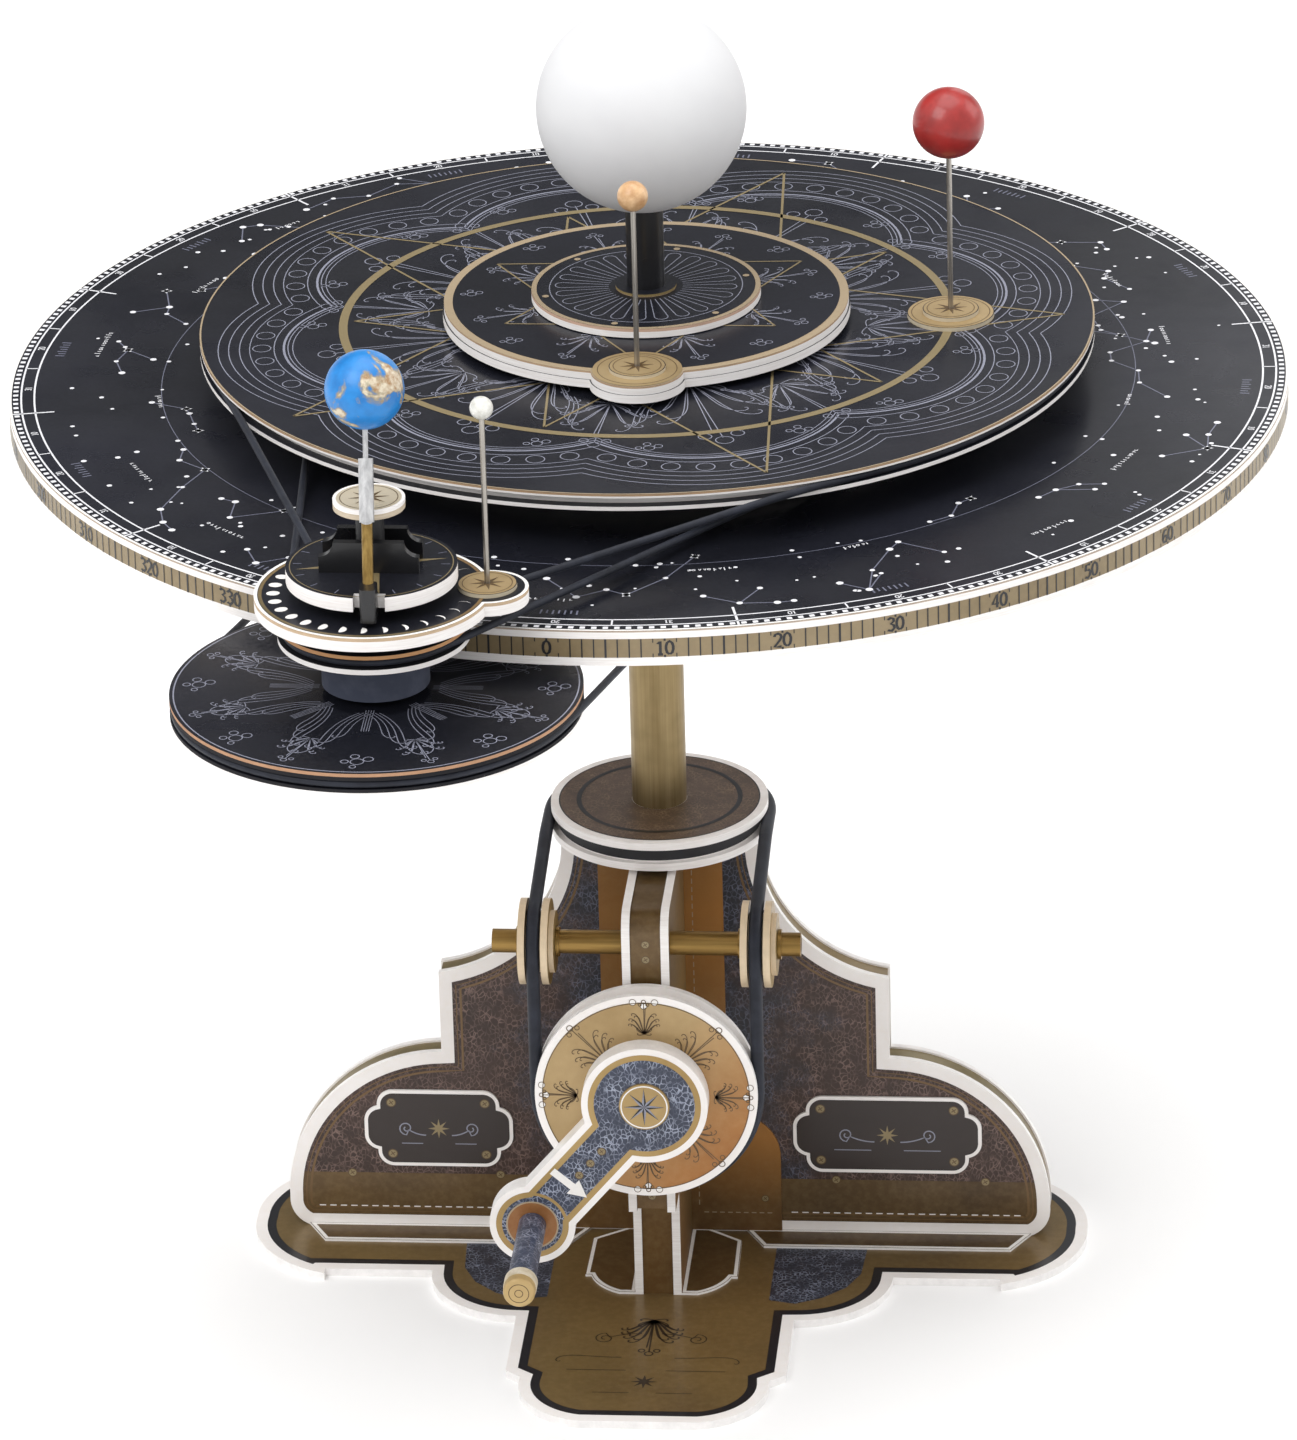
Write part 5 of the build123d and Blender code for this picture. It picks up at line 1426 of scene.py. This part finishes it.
def strip_print():
    """Screws down the front of the strip between the ribs."""
    sheet = Sheet("base", on_front(corner("rib_strips", 0, 1)), "gold_print_card")
    light = sheet.ink("strip_screws", INK_GOLD, 1)
    dark = sheet.ink("strip_screw_lines", INK_BROWN, 2)
    for v in (43.0, 50.0, 122.5, 127.5):
        rivet(light, dark, 0.0, v, 1.2)
    sheet.make()


def rib_top_strip():
    """Thin card that closes the gap between the front ribs at their top, under the column pulley."""
    half = corner("rib_strips", 1, 0)
    top = corner("front_ribs", 1, 2) - 0.8
    front, back = corner("front_ribs", 0, 1) + 7.0, PANEL_FRONT
    corners = [(x, y, z) for z in (top - 1.2, top) for x, y in
               ((-half, front), (half, front), (half, back), (-half, back))]
    faces = [(3, 2, 1, 0), (4, 5, 6, 7)] + [(k, (k + 1) % 4, 4 + (k + 1) % 4, 4 + k) for k in range(4)]
    points = [tuple(c * MM for c in point) for point in corners]
    brown = NODES["rib_strips"].data.materials[0]
    make_piece("rib_top_strip", points, faces, brown, "base", "gold_print_card")


def column_pulley_print():
    """Brown leather top of the column pulley with a thick black ring and a white margin."""
    sheet = Sheet("earth_arm", on_top(COLUMN_PULLEY_TOP), "gold_print_card")
    inner, outer = 8.4, 30.4
    leather = sheet.ink("column_pulley_leather", PULLEY_LEATHER, 1)
    leather.ring(0, 0, (inner + outer) / 2, outer - inner, 96)
    rings = sheet.ink("column_pulley_lines", INK_BLACK, 2)
    rings.ring(0, 0, 24.5, 1.5, 96)
    rings.ring(0, 0, outer, 0.4, 96)
    sheet.make()


# ---- stage ---------------------------------------------------------------------------------------
def make_stage():
    """Pale floor, soft lights and a card for the discs to mirror; then the surroundings and the camera."""
    bpy.ops.mesh.primitive_plane_add(size=30, location=(0, 0, 0))
    floor = bpy.context.object
    floor.name = "floor"
    paint = Paint("floor_paper", roughness=0.9, specular=0.1)
    tone = paint.noise(3, 3, 0.5)
    paint.colour(paint.mix(paint.span(tone, 0.3, 0.7), srgb("fdfdfd"), srgb("fafafa")))
    floor.data.materials.append(paint.material)
    make_world()
    lights = (("key_softbox", (-1.1, -1.3, 2.2), 1.6, 30.0), ("side_window", (1.9, 0.8, 1.3), 1.4, 12.0),
              ("top_softbox", (0.1, 0.2, 2.6), 2.0, 26.0), ("reflection_card", (0.42, 1.5, 0.98), 0.62, 1.6))
    for name, place, size, power in lights:
        light = bpy.data.lights.new(name, "AREA")
        light.energy, light.size = power, size
        lamp = bpy.data.objects.new(name, light)
        lamp.location = place
        lamp.rotation_euler = (Vector((0, 0, 0.25)) - Vector(place)).to_track_quat("-Z", "Y").to_euler()
        bpy.context.scene.collection.objects.link(lamp)
    make_camera()


def make_world():
    """White surroundings, dim in the band that the discs mirror towards the camera."""
    world = bpy.data.worlds.new("studio")
    bpy.context.scene.world = world
    world.use_nodes = True
    tree = world.node_tree
    background = tree.nodes["Background"]
    coords = tree.nodes.new("ShaderNodeTexCoord")
    split = tree.nodes.new("ShaderNodeSeparateXYZ")
    tree.links.new(coords.outputs["Generated"], split.inputs[0])

    def ramp(source, low, high, start, end):
        node = tree.nodes.new("ShaderNodeMapRange")
        node.interpolation_type = "SMOOTHSTEP"
        for key, value in (("From Min", low), ("From Max", high), ("To Min", start), ("To Max", end)):
            node.inputs[key].default_value = value
        tree.links.new(split.outputs[source], node.inputs["Value"])
        return node.outputs["Result"]

    def times(a, b):
        node = tree.nodes.new("ShaderNodeMath")
        node.operation = "MULTIPLY"
        tree.links.new(a, node.inputs[0])
        tree.links.new(b, node.inputs[1])
        return node.outputs[0]

    band = times(ramp(2, 0.12, 0.24, 0.0, 1.0), ramp(2, 0.60, 0.76, 1.0, 0.0))
    dim = times(band, ramp(1, 0.25, 0.55, 0.0, 1.0))
    strength = tree.nodes.new("ShaderNodeMapRange")
    strength.inputs["To Min"].default_value, strength.inputs["To Max"].default_value = 0.85, 0.12
    tree.links.new(dim, strength.inputs["Value"])
    tree.links.new(strength.outputs["Result"], background.inputs["Strength"])
    background.inputs["Color"].default_value = (1.0, 1.0, 1.0, 1.0)


def make_camera():
    """Camera at the picture's angle, a little tilted about its own axis."""
    azimuth, elevation, roll = radians(5.29), radians(24.53), radians(1.55)
    target, distance = Vector((-0.00275, 0, 0.1738)), 2.8248
    back = Vector((sin(azimuth) * cos(elevation), -cos(azimuth) * cos(elevation), sin(elevation)))
    right = Vector((cos(azimuth), sin(azimuth), 0))
    up = back.cross(right)
    right, up = right * cos(roll) - up * sin(roll), right * sin(roll) + up * cos(roll)
    camera_data = bpy.data.cameras.new("camera")
    camera_data.lens, camera_data.sensor_width = 233.5, 36.0
    camera_data.clip_end = 50
    camera = bpy.data.objects.new("camera", camera_data)
    turn = Matrix((right, up, back)).transposed().to_4x4()
    camera.matrix_world = Matrix.Translation(target + back * distance) @ turn
    bpy.context.scene.collection.objects.link(camera)
    bpy.context.scene.camera = camera
    bpy.context.scene.view_settings.view_transform = "Standard"


# ---- put it together -----------------------------------------------------------------------------
NIGHT_FACE_PAINT = Paint("night_face", roughness=0.28, specular=0.3)
NIGHT_FACE_PAINT.colour(night_print(NIGHT_FACE_PAINT))
NIGHT_FACE_PAINT.bump(NIGHT_FACE_PAINT.noise(160, 2, 0.5), 0.08, 0.0002)
NIGHT_FACE = NIGHT_FACE_PAINT.material
MOON_BORDER = gold_face_material("moon_border_gold", srgb("8f7d58"), srgb("6f6040"))
PANEL_LEATHER = panel_leather_material()
CRANK_LEATHER = leather_face_material("crank_leather", srgb("272d3f"), srgb("b4bccf"), 820, 0.2)
COPPER_FACE = gold_face_material("copper_face", srgb("a06a38"), srgb("7d4f2a"), srgb("b98249"))
BASE_LEATHER = leather_face_material("base_leather", srgb("20232d"), srgb("8a90a2"), 760)
PULLEY_LEATHER = leather_face_material("pulley_leather", srgb("45352a"), srgb("806a52"), 800)
BAND_GOLD = gold_face_material("band_gold", srgb("6b5433"), srgb("4c3a24"), srgb("7a5c34"))
BASE_GOLD = gold_face_material("base_gold", srgb("80693f"), srgb("614e30"), srgb("8a6a3e"), 0.34)
WHEEL_GOLD = gold_face_material("trim_gold", srgb("b79b66"), srgb("94763f"), srgb("b58449"))
PLAQUE_FACE = ink_material("plaque_face", srgb("2a1f1b"), roughness=0.4)
INK_GOLD_BROWN = ink_material("ink_gold_brown", srgb("6e5433"), metallic=0.2)

finish_nodes()
smooth_ball("sun_globe", "base", 160)
smooth_ball("venus_ball", "venus", 96)
smooth_ball("mercury_ball", "mercury", 64)
smooth_ball("moon_ball", "moon_spindle", 64)
smooth_ball("earth_globe", "earth_globe", 96)
chart_print()
rim_print()
venus_print()
mercury_print()
sun_disc_print()
moon_print()
earth_disc_print()
lower_disc_print()
panel_print("front_panel", "pedestal_front_panel", PANEL_FRONT, on_front(PANEL_FRONT))
panel_print("rear_panel", "pedestal_rear_panel", PANEL_BACK, on_back(PANEL_BACK))
plaque_print()
flap_print()
base_print()
wheel_print()
crank_print()
medallion_print()
foot_print()
strip_print()
rib_top_strip()
column_pulley_print()
make_stage()
